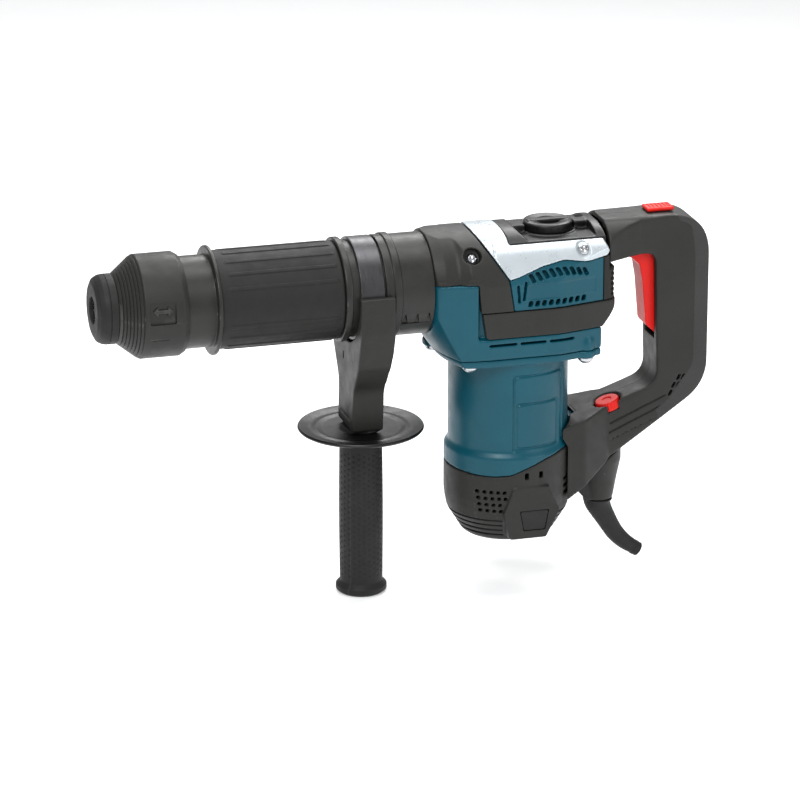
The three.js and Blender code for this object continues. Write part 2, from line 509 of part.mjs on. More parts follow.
function rearHandle() {
  const around = oval(MOTOR_A + 1.8, MOTOR_B + 1.8, -210, -90).add(box(300, 318, -60, 60, -210, -90));
  const outer = dSolid(0).subtract(around);
  const hollow = dSolid(WALL).subtract(oval(MOTOR_A + 4.6, MOTOR_B + 4.6, -210, -90));
  const softEdge = [[444, 60], [446, 36, 4], [456, 32, 8], [459, 10, 10], [459, -78, 20], [440, -104],
    [430, -112], [440, -150], [490, -150], [490, 60]];
  const softZone = prismY([...softEdge].reverse(), -60, 60);
  const softSkin = outer.subtract(dSolid(1.8)).intersect(softZone);
  const pivotBay = box(355, 389, -8.2, 8.2, -133, -111);
  let shell = outer.subtract(hollow).subtract(outer.subtract(dSolid(2.5)).intersect(softZone.add(
    softZone.translate([-GAP, 0, 0])))).subtract(pivotBay).subtract(rodY(PIVOT_X, PIVOT_Z, 3.5, -14, 14));
  shell = shell.subtract(box(403, 442, -11, 11, -57, 20)).subtract(box(427.5, 440.5, -3.6, 3.6, 30, 60));
  shell = shell.subtract(dialSolid(10.1, -7.5, 12)).subtract(glandHole());
  [-0.15, 0, 0.15].forEach((y) => {
    shell = shell.subtract(softSkin.translate([-0.1 * Math.abs(y), y, 0]));
  });
  piece('handle_shell_left', largest(shell.intersect(leftHalf)), BLACK);
  piece('handle_shell_right', largest(shell.intersect(rightHalf)), BLACK);
  piece('grip_overmould', softSkin, RUBBER);
  piece('trigger_switch', box(444, 464, -9, 9, -46, 6), BLACK);
  piece('speed_controller', box(407, 431, -11, 11, -116, -104.5), BLUE);
  piece('handle_pivot_pin', rodY(PIVOT_X, PIVOT_Z, 3.2, -13.7, 13.7, 16), STEEL);
  piece('trigger', trigger(), RED);
  piece('lock_button', box(424, 446, -7.5, 7.5, 41.4, 44.4).add(box(433, 439.5, -3.2, 3.2, 32, 42)), RED);
  piece('speed_dial', dialSolid(9.4, -6.8, 0.2), RED);
}

// The hook lies under the upper arm and the blade stands in front of the grip.
function trigger() {
  const blade = prismY([[404.5, 11.2], [404.5, 8.6], [411, 8, 3], [418, 2, 6], [420.5, -12], [423.5, -46],
    [431, -53], [434, -50], [434, 11.2]], -10.4, 10.4);
  return blade.add(box(406.5, 413.5, -9, 9, 10, 18.5));
}

// A disc lying under the sloping top face of the lower arm, between two depths below that face.
function dialSolid(radius, bottom, top) {
  const tilt = Math.atan(ARM_SLOPE);
  const surface = -91 + (DIAL_X - 431) * ARM_SLOPE;
  return solid(new THREE.CylinderGeometry(radius, radius, top - bottom, 28).rotateX(Math.PI / 2)
    .translate(0, 0, (top + bottom) / 2).rotateY(-tilt).translate(DIAL_X, DIAL_Y, surface));
}

// ---- cable entry ----
const BOOT_PATH = [[390.4, -184.2, 11.4], [390.6, -188.5, 10], [397.4, -202, 7.8], [405.5, -215, 6.8],
  [423.4, -230.2, 5.2]];

function taperedPath(path) {
  let whole = null;
  for (let i = 0; i + 1 < path.length; i += 1) {
    const [x0, z0, r0] = path[i];
    const [x1, z1, r1] = path[i + 1];
    const length = Math.hypot(x1 - x0, z1 - z0);
    const lean = Math.atan2(x1 - x0, z1 - z0);
    const cone = solid(new THREE.CylinderGeometry(r1, r0, length, 10).rotateX(Math.PI / 2).rotateY(lean)
      .translate((x0 + x1) / 2, 0, (z0 + z1) / 2));
    const ball = solid(new THREE.SphereGeometry(r1, 10, 5).translate(x1, 0, z1));
    const next = i + 2 < path.length ? cone.add(ball) : cone;
    whole = whole ? whole.add(next) : next;
  }
  return whole;
}

const glandHole = () => rodZ(GLAND_X, 0, 8.4, -190, -130, 20);

function cableEntry() {
  const arm = prismY(insetCorners(D_OUTLINE, -GAP), -30, 30);
  const cone = latheZ([[0, -183.8], [11.6, -183.8], [17.4, -152], [17.4, -140], [0, -140]], GLAND_X, 0, 28);
  const web = prismY([[369.5, -160], [369.5, -172], [380, -183.8], [392, -183.8], [392, -150]], -9, 9);
  piece('cable_gland', cone.add(web).subtract(arm).subtract(rodZ(GLAND_X, 0, 5, -190, -130, 16)), BLACK);
  const bore = [[420, -228.4, 3.3], [427, -232.2, 3.3]];
  const above = box(370, 410, -20, 20, -184.1, -170);
  piece('cable_boot', taperedPath(BOOT_PATH).subtract(taperedPath(bore)).subtract(above), RUBBER);
}

toolHolder();
barrel();
connectingRod();
crank();
motor();
gearHousing();
covers();
motorCase();
selectorKnob();
sideHandle();
rearHandle();
cableEntry();

export default hammer;
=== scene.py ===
"""The looks of an electric demolition hammer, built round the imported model.

Shapes are worked out in millimetres along the barrel: X back from the nose face, Y across, Z up from the
barrel axis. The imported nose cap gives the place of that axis, and every mesh is moved into the frame as it is
made.
"""
import math

import bmesh
import bpy
from mathutils import Matrix, Vector


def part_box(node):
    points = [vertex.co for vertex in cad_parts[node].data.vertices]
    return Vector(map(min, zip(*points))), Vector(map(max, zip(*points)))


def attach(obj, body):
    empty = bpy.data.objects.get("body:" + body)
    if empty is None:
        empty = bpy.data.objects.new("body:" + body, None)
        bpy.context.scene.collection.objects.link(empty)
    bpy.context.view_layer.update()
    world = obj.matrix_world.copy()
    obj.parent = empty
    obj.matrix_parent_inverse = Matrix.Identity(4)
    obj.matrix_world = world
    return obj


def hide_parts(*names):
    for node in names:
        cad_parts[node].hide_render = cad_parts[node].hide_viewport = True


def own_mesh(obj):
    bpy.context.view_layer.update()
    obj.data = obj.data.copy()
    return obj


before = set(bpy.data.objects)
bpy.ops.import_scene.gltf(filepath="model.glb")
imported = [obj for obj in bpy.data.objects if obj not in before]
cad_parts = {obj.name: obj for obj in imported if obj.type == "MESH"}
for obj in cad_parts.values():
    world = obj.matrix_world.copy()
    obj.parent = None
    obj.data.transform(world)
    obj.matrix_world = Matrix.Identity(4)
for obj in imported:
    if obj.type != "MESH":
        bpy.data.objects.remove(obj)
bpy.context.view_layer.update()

MM = 0.001
nose_low, nose_high = (Vector(corner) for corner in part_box("nose_cap"))
AXIS = Vector((nose_low.x, (nose_low.y + nose_high.y) / 2, (nose_low.z + nose_high.z) / 2))
TO_FRAME = Matrix.Translation(AXIS) @ Matrix.Scale(MM, 4)


def node_mm(node):
    """A node's box in millimetres along the barrel: two corners."""
    low, high = (Vector(corner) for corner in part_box(node))
    return (low - AXIS) / MM, (high - AXIS) / MM


# ---------------------------------------------------------------- shapes
GRIP_HALF = node_mm("grip_overmould")[1].y
MOTOR_X = (node_mm("motor_cap")[0].x + node_mm("motor_cap")[1].x) / 2
HANDLE_X = (node_mm("side_grip")[0].x + node_mm("side_grip")[1].x) / 2
MOTOR_AT = (MOTOR_X, 0)
HANDLE_AT = (HANDLE_X, 0)
CRANK_AT = (284.4, 0)
KNOB_AT = (348, 0)
GLAND_AT = (390.4, 0)
PIVOT_AT = (377, -122)          # X and Z of the pin that the D-handle rocks on
BRUSH_AT = (331, -174)          # X and Z of the motor brushes
CASE = (48.5, 45.5)             # half the length and half the width of the motor case
GAP = 0.3


def inset_corners(corners, inset):
    """The outline drawn in by an inset; negative grows it."""
    count = len(corners)
    lines = []
    for i, corner in enumerate(corners):
        ahead = corners[(i + 1) % count]
        run, rise = ahead[0] - corner[0], ahead[1] - corner[1]
        length = math.hypot(run, rise)
        lines.append((corner[0] - rise / length * inset, corner[1] + run / length * inset, run, rise))
    drawn = []
    for i, corner in enumerate(corners):
        u0, v0, du0, dv0 = lines[i - 1]
        u1, v1, du1, dv1 = lines[i]
        cross = du0 * dv1 - dv0 * du1
        along = ((u1 - u0) * dv1 - (v1 - v0) * du1) / cross
        radius = corner[2] if len(corner) > 2 else 0
        turned = -inset if cross > 0 else inset
        drawn.append((u0 + du0 * along, v0 + dv0 * along, max(radius + turned, 0.4) if radius else 0))
    return drawn


def rounded(corners, steps):
    """Points along an outline of [u, v, radius] corners, with each corner turned into a curve."""
    points = []
    count = len(corners)
    for i, corner in enumerate(corners):
        radius = corner[2] if len(corner) > 2 else 0
        here = Vector(corner[:2])
        if radius <= 0:
            points.append(here)
            continue
        before = (Vector(corners[i - 1][:2]) - here).normalized()
        after = (Vector(corners[(i + 1) % count][:2]) - here).normalized()
        half = math.acos(max(-1, min(1, before.dot(after)))) / 2
        reach = radius / math.tan(half)
        start, end = here + before * reach, here + after * reach
        for step in range(steps + 1):
            t = step / steps
            points.append(start * (1 - t) ** 2 + here * 2 * t * (1 - t) + end * t ** 2)
    return points


def to_mesh(bm):
    bmesh.ops.recalc_face_normals(bm, faces=bm.faces)
    mesh = bpy.data.meshes.new("solid")
    bm.to_mesh(mesh)
    bm.free()
    return mesh


AXES = {
    "x": lambda u, v, w: (w, u, v),
    "y": lambda u, v, w: (u, w, v),
    "z": lambda u, v, w: (u, v, w),
}


def prism(axis, corners, low, high, steps=8, edge=0.0, edge_steps=3):
    """An outline run along an axis, with its end edges rounded by `edge`."""
    bm = bmesh.new()
    turn = AXES[axis]
    points = rounded(corners, steps)
    near = [bm.verts.new(turn(p.x, p.y, low)) for p in points]
    far = [bm.verts.new(turn(p.x, p.y, high)) for p in points]
    count = len(points)
    caps = [bm.faces.new(near), bm.faces.new(list(reversed(far)))]
    for i in range(count):
        bm.faces.new((near[i - 1], far[i - 1], far[i], near[i]))
    if edge:
        rims = {e for cap in caps for e in cap.edges}
        bmesh.ops.bevel(bm, geom=list(rims), offset=edge, segments=edge_steps, profile=0.5, affect="EDGES",
                        clamp_overlap=True)
    return to_mesh(bm)


def box(x0, x1, y0, y1, z0, z1, edge=0.0):
    bm = bmesh.new()
    bmesh.ops.create_cube(bm, size=1)
    for vert in bm.verts:
        vert.co = Vector(((x0, x1)[vert.co.x > 0], (y0, y1)[vert.co.y > 0], (z0, z1)[vert.co.z > 0]))
    if edge:
        bmesh.ops.bevel(bm, geom=list(bm.edges), offset=edge, segments=3, profile=0.5, affect="EDGES",
                        clamp_overlap=True)
    return to_mesh(bm)


def lathe(axis, profile, segments=96, centre=(0, 0), steps=5, warp=None, squash=(1, 1)):
    """A closed profile of [radius, height, corner radius] turned round an axis.

    warp(radius, height, angle) may move a point in or out, and squash makes the turning oval.
    """
    bm = bmesh.new()
    turn = AXES[axis]
    points = rounded(profile, steps)
    rings = []
    for point in points:
        radius, height = point.x, point.y
        if radius < 1e-6:
            rings.append([bm.verts.new(turn(centre[0], centre[1], height))])
            continue
        ring = []
        for i in range(segments):
            angle = 2 * math.pi * i / segments
            r = warp(radius, height, angle) if warp else radius
            u = centre[0] + r * squash[0] * math.cos(angle)
            v = centre[1] + r * squash[1] * math.sin(angle)
            ring.append(bm.verts.new(turn(u, v, height)))
        rings.append(ring)
    for i, ring in enumerate(rings):
        last = rings[i - 1]
        if len(ring) == 1 and len(last) == 1:
            continue
        for k in range(segments):
            m = (k + 1) % segments
            quad = [last[k % len(last)], last[m % len(last)], ring[m % len(ring)], ring[k % len(ring)]]
            unique = list(dict.fromkeys(quad))
            if len(unique) > 2:
                bm.faces.new(unique)
    return to_mesh(bm)


def rod(axis, radius, low, high, segments, centre=(0, 0)):
    """A round bar along an axis, between two places on it."""
    return lathe(axis, [(0, low), (radius, low), (radius, high), (0, high)], segments, centre)


def evaluated(mesh, add_modifiers):
    """The mesh after the modifiers that add_modifiers puts on a scratch object."""
    scratch = bpy.data.objects.new("scratch", mesh)
    bpy.context.scene.collection.objects.link(scratch)
    add_modifiers(scratch)
    graph = bpy.context.evaluated_depsgraph_get()
    result = bpy.data.meshes.new_from_object(scratch.evaluated_get(graph))
    bpy.data.objects.remove(scratch)
    return result


def combine(first, second, operation):
    other = bpy.data.objects.new("other", second)
    bpy.context.scene.collection.objects.link(other)

    def add(scratch):
        modifier = scratch.modifiers.new("combine", "BOOLEAN")
        modifier.operation = operation
        modifier.solver = "MANIFOLD"
        modifier.object = other

    result = evaluated(first, add)
    bpy.data.objects.remove(other)
    return result


def cut(first, *others):
    for other in others:
        first = combine(first, other, "DIFFERENCE")
    return first


def join(first, *others):
    for other in others:
        first = combine(first, other, "UNION")
    return first


def common(first, *others):
    for other in others:
        first = combine(first, other, "INTERSECT")
    return first


def moved(mesh, matrix):
    copy = mesh.copy()
    copy.transform(matrix)
    if matrix.determinant() < 0:
        copy.flip_normals()
    return copy


def mirrored(mesh):
    return moved(mesh, Matrix.Scale(-1, 4, (0, 1, 0)))


def softened(mesh, voxel, passes):
    """One even skin with its edges and corners rounded, as a moulding has."""
    def add(scratch):
        remesh = scratch.modifiers.new("remesh", "REMESH")
        remesh.mode = "VOXEL"
        remesh.voxel_size = voxel
        smooth = scratch.modifiers.new("smooth", "SMOOTH")
        smooth.factor = 0.5
        smooth.iterations = passes
    return evaluated(mesh, add)


def piece(name, mesh, material, body, nodes=(), edge=0.35, angle=32):
    """Puts a shape into the frame as a finished piece that rides on a body and stands for its nodes."""
    mesh = mesh.copy()
    mesh.transform(TO_FRAME)
    if mesh.materials:
        mesh.materials.clear()
    mesh.materials.append(material)
    for face in mesh.polygons:
        face.use_smooth = True
    thing = bpy.data.objects.new(name, mesh)
    bpy.context.scene.collection.objects.link(thing)
    if edge:
        bevel = thing.modifiers.new("edge", "BEVEL")
        bevel.width = edge * MM
        bevel.segments = 2
        bevel.limit_method = "ANGLE"
        bevel.angle_limit = math.radians(angle)
        bevel.harden_normals = True
    else:
        mesh.set_sharp_from_angle(angle=math.radians(angle))
    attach(thing, body)
    if nodes:
        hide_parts(*nodes)
    return thing


def moulded(name, mesh, material, body, node):
    """A softened piece, whose edges are round already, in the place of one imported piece."""
    return piece(name, mesh, material, body, [node], edge=0, angle=60)


# ---------------------------------------------------------------- finishes
def screen(red, green, blue):
    """A colour as seen on a screen, 0 to 255, turned into the linear one that a shader takes."""
    def one(value):
        value /= 255
        return value / 12.92 if value <= 0.04045 else ((value + 0.055) / 1.055) ** 2.4
    return (one(red), one(green), one(blue), 1)


def scaled(colour, factor):
    return tuple(min(1, c * factor) for c in colour[:3]) + (1,)


def finish(name, colour, roughness, metallic=0.0, grain=1500, depth=0.06, mottle=0.14, worn=None, wear=0.5,
           stretch=(1, 1, 1), coat=0.0, gloss=0.35):
    """A surface with grain, patches of colour and gloss, and lighter wear along its edges."""
    material = bpy.data.materials.new(name)
    material.use_nodes = True
    tree = material.node_tree
    shader = tree.nodes["Principled BSDF"]
    place = tree.nodes.new("ShaderNodeTexCoord")
    mapping = tree.nodes.new("ShaderNodeMapping")
    mapping.inputs["Scale"].default_value = stretch
    tree.links.new(place.outputs["Object"], mapping.inputs["Vector"])

    def noise(scale, detail, roughen=0.55):
        node = tree.nodes.new("ShaderNodeTexNoise")
        node.inputs["Scale"].default_value = scale
        node.inputs["Detail"].default_value = detail
        node.inputs["Roughness"].default_value = roughen
        tree.links.new(mapping.outputs["Vector"], node.inputs["Vector"])
        return node.outputs["Fac"]

    def ranged(source, low, high, to_low, to_high):
        node = tree.nodes.new("ShaderNodeMapRange")
        for socket, value in zip(("From Min", "From Max", "To Min", "To Max"),
                                 (low, high, to_low, to_high)):
            node.inputs[socket].default_value = value
        tree.links.new(source, node.inputs["Value"])
        return node.outputs["Result"]

    def mixed(factor, first, second):
        node = tree.nodes.new("ShaderNodeMix")
        node.data_type = "RGBA"
        tree.links.new(factor, node.inputs["Factor"])
        for socket, value in ((node.inputs[6], first), (node.inputs[7], second)):
            if isinstance(value, tuple):
                socket.default_value = value
            else:
                tree.links.new(value, socket)
        return node.outputs[2]

    def product(first, second):
        node = tree.nodes.new("ShaderNodeMath")
        node.operation = "MULTIPLY"
        tree.links.new(first, node.inputs[0])
        tree.links.new(second, node.inputs[1])
        return node.outputs[0]

    patches = ranged(noise(28, 5), 0.35, 0.65, 0, 1)
    tint = mixed(patches, scaled(colour, 1 - mottle), scaled(colour, 1 + mottle))
    speckle = ranged(noise(900, 2), 0.45, 0.62, 0, 0.35)
    tint = mixed(speckle, tint, scaled(colour, 1 + 2 * mottle))
    if worn:
        geometry = tree.nodes.new("ShaderNodeNewGeometry")
        edges = ranged(geometry.outputs["Pointiness"], 0.53, 0.6, 0, wear)
        tint = mixed(product(edges, ranged(noise(160, 6), 0.4, 0.6, 0.25, 1)), tint, worn)
    tree.links.new(tint, shader.inputs["Base Color"])
    tree.links.new(ranged(noise(110, 6), 0.3, 0.7, roughness - 0.07, roughness + 0.07),
                   shader.inputs["Roughness"])
    shader.inputs["Metallic"].default_value = metallic
    shader.inputs["Specular IOR Level"].default_value = gloss
    shader.inputs["Coat Weight"].default_value = coat
    shader.inputs["Coat Roughness"].default_value = 0.25
    bump = tree.nodes.new("ShaderNodeBump")
    bump.inputs["Strength"].default_value = 0.6
    bump.inputs["Distance"].default_value = depth * MM
    tree.links.new(noise(grain, 3, 0.6), bump.inputs["Height"])
    tree.links.new(bump.outputs["Normal"], shader.inputs["Normal"])
    return material


BLACK = finish("black_plastic", screen(32, 32, 30), 0.5, grain=1900, depth=0.07, worn=screen(86, 85, 82),
               wear=0.4, gloss=0.3)
DARK = finish("black_dark", screen(15, 15, 15), 0.36, grain=1900, depth=0.05, worn=screen(70, 70, 68),
              wear=0.35, gloss=0.3)
METAL = finish("black_metal", screen(38, 38, 36), 0.4, metallic=0.2, grain=1300, depth=0.05,
               worn=screen(105, 104, 100), wear=0.4)
RUBBER = finish("rubber", screen(26, 26, 25), 0.6, grain=2600, depth=0.08, worn=screen(70, 70, 68),
                wear=0.35, gloss=0.28)
SOFT = finish("soft_grip", screen(48, 48, 47), 0.62, grain=2600, depth=0.08, worn=screen(78, 78, 76),
              wear=0.35, gloss=0.3)
BLUE = finish("blue_paint", screen(0, 70, 85), 0.38, metallic=0.1, grain=900, depth=0.03, mottle=0.08,
              worn=screen(36, 110, 134), wear=0.4, coat=0.05, gloss=0.3)
SILVER = finish("silver", screen(186, 194, 199), 0.3, metallic=0.4, grain=1200, depth=0.015, mottle=0.03,
                worn=screen(225, 230, 233), wear=0.15, gloss=0.5)
RED = finish("red_plastic", screen(206, 18, 10), 0.42, grain=1600, depth=0.03, mottle=0.06,
             worn=screen(236, 80, 62), wear=0.35, gloss=0.25)
STEEL = finish("steel", screen(186, 189, 192), 0.26, metallic=1.0, grain=700, depth=0.02, mottle=0.06,
               worn=screen(225, 226, 228), wear=0.4, stretch=(1, 4, 4), gloss=0.5)
BAND_STEEL = finish("band_steel", screen(72, 72, 74), 0.36, metallic=0.85, grain=500, depth=0.012,
                    mottle=0.05, worn=screen(190, 190, 190), wear=0.4, stretch=(6, 1, 1), gloss=0.5)
DARK_STEEL = finish("dark_steel", screen(88, 89, 92), 0.35, metallic=0.9, grain=700, depth=0.02,
                    worn=screen(170, 170, 172), wear=0.4, gloss=0.5)
COPPER = finish("copper", screen(190, 112, 66), 0.33, metallic=0.95, grain=1000, depth=0.03,
                worn=screen(225, 160, 110), wear=0.4, gloss=0.5)
CARBON = finish("carbon", screen(30, 30, 32), 0.6, grain=2000, depth=0.05, worn=screen(70, 70, 72),
                wear=0.3)

KEPT = {
    "tool_holder": STEEL, "locking_bar_left": STEEL, "locking_bar_right": STEEL, "cylinder_tube": STEEL,
    "impact_bolt": STEEL, "striker": STEEL, "piston": STEEL, "connecting_rod": STEEL,
    "crank_gear": STEEL, "crank_bearing": DARK_STEEL, "armature_shaft": STEEL,
    "armature_core": DARK_STEEL, "commutator": COPPER, "fan": BLACK, "stator_core": DARK_STEEL,
    "field_winding": COPPER, "motor_bearing_upper": STEEL, "motor_bearing_lower": STEEL,
    "carbon_brush_left": CARBON, "carbon_brush_right": CARBON, "clamp_bolt": STEEL,
    "trigger_switch": BLACK, "speed_controller": BLUE, "handle_pivot_pin": STEEL,
}


def dress_kept_nodes():
    """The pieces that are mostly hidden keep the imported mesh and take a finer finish."""
    for node, material in KEPT.items():
        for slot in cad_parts[node].material_slots:
            slot.material = material


# ---------------------------------------------------------------- tool holder and barrel
def smooth_step(value, low, high):
    t = max(0, min(1, (value - low) / (high - low)))
    return t * t * (3 - 2 * t)


def screw(name, body, nodes, place, along, radius, height, head_slot=True):
    """A domed screw head with a cross recess, its top pointing along a direction."""
    head = lathe("z", [(0, 0), (radius, 0, 0.2), (radius, height * 0.45, height * 0.3),
                       (radius * 0.6, height, height * 0.35), (0, height)], 48)
    if head_slot:
        arm, half = radius * 0.62, radius * 0.14
        head = cut(head, box(-arm, arm, -half, half, height * 0.45, height + 1),
                   box(-half, half, -arm, arm, height * 0.45, height + 1))
    turn = Vector((0, 0, 1)).rotation_difference(Vector(along)).to_matrix().to_4x4()
    head = moved(head, Matrix.Translation(place) @ turn)
    return piece(name, head, STEEL, body, nodes, edge=0.12)


def nose():
    cap = lathe("x", [(10, 0.7, 0.5), (10.8, 0, 0.5), (19.5, 0, 1.6), (23.6, 2, 2), (25.5, 5.5, 2),
                      (26, 8.6), (25.5, 8.9), (25.5, 9.5), (26, 9.8), (26, 15, 0.4), (13.8, 15), (13.8, 3),
                      (10, 3)],
                144)
    piece("nose_rubber", cap, RUBBER, "tool_holder", ["nose_cap"], edge=0)

    profile = [(14.1, 15.3), (25.4, 15.3, 0.3)]
    ridges = 7
    first, last = Vector((25.9, 15.9)), Vector((38.2, 31.2))
    for i in range(ridges):
        start = first.lerp(last, i / ridges)
        end = first.lerp(last, (i + 0.66) / ridges)
        profile += [(start.x, start.y, 0.25), (end.x, end.y, 0.25), (end.x - 0.55, end.y + 0.55, 0.15)]
    profile += [(38.6, 32.2, 1.5), (38.6, 61, 2), (36.4, 64.6, 0.4), (35.9, 65), (34.9, 65), (34.9, 38),
                (27, 24), (14.1, 24)]
    sleeve = lathe("x", profile, 160)
    panel = prism("y", [(35, -3.6, 1.5), (54.5, -3.6, 1.5), (54.5, 16, 1.5), (35, 16, 1.5)], -60, -36.6)
    arrows = prism("y", [(37.5, 6.2), (41, 2.6), (41, 4.9), (48.5, 4.9), (48.5, 2.6), (52, 6.2),
                         (48.5, 9.8), (48.5, 7.5), (41, 7.5), (41, 9.8)], -37.9, -35)
    hint = prism("y", [(37, -16.6), (50, -16.6), (50, -15.8), (37, -15.8)], -60, -34.6)
    sleeve = join(cut(sleeve, panel, hint), arrows)
    piece("sleeve_black", sleeve, BLACK, "locking_sleeve", ["locking_sleeve"], edge=0.15)


def sleeve_spring():
    """The coil behind the locking sleeve, made as one fixed mesh at one length; the real coil shortens as the
    sleeve slides back.
    """
    front, rear, radius, wire, turns, steps, sides = 24.4, 51.6, 17.2, 1.1, 4, 200, 14
    bm = bmesh.new()
    rings = []
    for i in range(steps + 1):
        angle = 2 * math.pi * turns * i / steps
        out = Vector((0, math.cos(angle), math.sin(angle)))
        centre = out * radius + Vector((front + wire + (rear - front - 2 * wire) * i / steps, 0, 0))
        rings.append([])
        for k in range(sides):
            turn = 2 * math.pi * k / sides
            around = out * math.cos(turn) + Vector((math.sin(turn), 0, 0))
            rings[-1].append(bm.verts.new(centre + wire * around))
    for near, far in zip(rings, rings[1:]):
        for k in range(sides):
            bm.faces.new((near[k - 1], near[k], far[k], far[k - 1]))
    bm.faces.new(rings[0])
    bm.faces.new(list(reversed(rings[-1])))
    coil = moulded("spring_steel", to_mesh(bm), STEEL, "tool_holder", "sleeve_spring")
    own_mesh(coil)


RIBS = [28, 46, 64, 82, 98, 116, 134, 152, 198, 216, 234, 252, 270, 288, 306, 324, 342]


def barrel():
    housing = lathe("x", [
        (20.6, 60), (33.6, 60, 0.6), (34.3, 62, 1), (34.3, 86, 0.8), (40.6, 86, 1.1), (40.6, 89, 1.1),
        (33, 89), (33, 182.4), (39, 182.4, 1.2), (39, 187.6, 1.2), (36, 187.9), (36, 213), (38.4, 213, 0.6),
        (38.4, 218.6, 0.5), (39.4, 219.6, 0.5), (39.4, 224.6, 1), (38, 225.4, 0.4), (38, 249.7),
        (24.8, 249.7), (24.8, 146.5), (15.4, 146.5), (15.4, 114), (17.6, 114), (17.6, 74),
        (20.6, 74)], 160)
    for x in (228, 237, 246):
        mark = prism("y", [(x - 2.4, -22), (x + 2.4, -22), (x + 0.5, -13), (x - 0.5, -13)], -60, -31.6)
        housing = cut(housing, mark)
    piece("barrel_black", housing, METAL, "hammer", ["barrel_housing"], edge=0.15)

    def ribs(radius, height, angle):
        if radius < 36:
            return radius
        along = smooth_step(height, 95.5, 97) * (1 - smooth_step(height, 177, 178.5))
        degrees = math.degrees(angle) % 360
        nearest = min(abs(degrees - rib) for rib in RIBS)
        return radius + 0.62 * along * (1 - smooth_step(nearest, 1.7, 2.5))

    profile = [(33.3, 89.3), (36.2, 89.3, 0.5)]
    profile += [(36.6, 89.9 + 91.5 * i / 90) for i in range(91)]
    profile += [(36.2, 182, 0.2), (33.3, 182)]
    piece("barrel_grip", lathe("x", profile, 720, warp=ribs), RUBBER, "hammer", ["barrel_grip_sleeve"],
          edge=0, angle=50)


# ---------------------------------------------------------------- side handle
def side_handle():
    band = lathe("x", [(36.3, 193.5), (38.1, 193.5, 0.3), (38.5, 194, 0.4), (38.5, 211, 0.4),
                       (38.1, 211.5, 0.3), (36.3, 211.5)], 160)
    loop = cut(box(196, 209, -8, 8, -58, -37, 1.2), box(195, 210, -5.6, 5.6, -54, -44),
               rod("z", 4.4, -60, -50, 48, HANDLE_AT), rod("x", 36.3, 190, 215, 160))
    piece("band_steel", join(band, loop), BAND_STEEL, "side_handle", ["clamp_band"], edge=0.15)

    half = [(20, -107), (21.5, -75, 20), (36, -52, 16), (45, -26, 20), (45, 4)]
    whole = half + [(-y, z, *radius) for y, z, *radius in reversed(half)]
    front = prism("x", whole, 190, 219, steps=14)
    side = prism("y", [(191.5, 5), (191.5, -80), (190.5, -110), (215, -110), (215.5, -75, 20), (218, -40),
                       (218, 5)],
                 -60, 60, steps=12)
    yoke = common(front, side)
    yoke = softened(yoke, 0.8, 10)
    yoke = common(yoke, box(150, 260, -60, 60, -107, 3.6))
    saddle = rod("x", 39.7, 180, 230, 160)
    hole = prism("x", [(5.2, -56, 1), (7.4, -56, 1), (7.4, -50.5, 1), (5.2, -50.5, 1)], 185, 196)
    shallow = prism("x", [(-13, -100, 1), (13, -100, 1), (13, -97.5, 1), (-13, -97.5, 1)], 185, 191.2)
    yoke = cut(yoke, saddle, box(194.8, 210.2, -9, 9, -60, -30), hole, shallow,
               rod("z", 4.6, -120, -50, 48, HANDLE_AT))
    moulded("yoke_black", softened(yoke, 0.6, 2), BLACK, "side_handle", "handle_yoke")

    guard = lathe("z", [
        (4.6, -113.3), (17, -113.3, 3), (26, -113), (38, -112.3), (46.4, -110.6, 3), (47.75, -108.9, 0.9),
        (46.6, -107.4, 0.7), (44.5, -108, 1), (38, -109.7, 8), (34, -108.9, 3), (30, -109.9, 5),
        (16, -110.4, 1.5), (14.8, -107.3, 0.3), (4.6, -107.3)], 160, HANDLE_AT)
    piece("guard_black", guard, DARK, "side_handle", ["guard_disc"], edge=0)

    top, bottom = -121, -230.5
    row, columns = 4.3, 26

    def dimples(radius, height, angle):
        if radius < 12 or not bottom - 1 < height < top + 1:
            return radius
        swell = 0.45 * math.sin(math.pi * (height - bottom) / (top - bottom))
        column = angle / (2 * math.pi) * columns
        nearest = round(column)
        across = (column - nearest) * 2 * math.pi * radius / columns
        offset = 0.5 * (nearest % 2)
        up = (height - top) / row + offset
        away = math.hypot(across, (up - round(up)) * row)
        inside = smooth_step(height, bottom + 4, bottom + 5) * (1 - smooth_step(height, top - 5, top - 4))
        return radius - 0.3 + swell - 0.55 * inside * (1 - smooth_step(away, 0.35, 1.15))

    profile = [(0, -240), (16.5, -240, 2), (19.3, -237.8, 1.4), (19.3, -234.2, 1.6), (16.7, -231.2, 1.5)]
    steps = 190
    profile += [(16.4, bottom + (top - bottom) * i / steps) for i in range(steps + 1)]
    profile += [(16, -118.5, 1.5), (13, -116.4, 0.8), (12, -113.6), (4.6, -113.6), (4.6, -158), (0, -158)]
    grip = lathe("z", profile, 468, HANDLE_AT, warp=dimples)
    piece("side_grip_rubber", grip, RUBBER, "side_grip", ["side_grip"], edge=0, angle=50)


# ---------------------------------------------------------------- main housing
PLAN = [(250, -40, 8), (288, -47, 30), (345, -47, 30), (392, -36, 14), (392, 36, 14), (345, 47, 30),
        (288, 47, 30),
        (250, 40, 8)]


def plan(inset, low, high):
    return prism("z", inset_corners(PLAN, inset), low, high, steps=16)


def envelope(inset):
    """The space that the covers fill: the plan under an arched top, round like the barrel in front."""
    half, top, bend = 48 - inset, 39.5 - inset, 46 - inset
    arch = prism("x", [(-half, -90), (half, -90), (half, top, bend), (-half, top, bend)], 240, 400,
                 steps=40)
    collar = lathe("x", [(0, 245), (40 - inset, 245), (40 - inset, 251, 2), (41.8 - inset, 258, 4),
                         (41.8 - inset, 268, 5), (47 - inset, 276, 4), (64 - inset, 286), (100, 300),
                         (100, 400), (0, 400)], 144)
    return common(plan(inset, -80, 60), arch, collar)


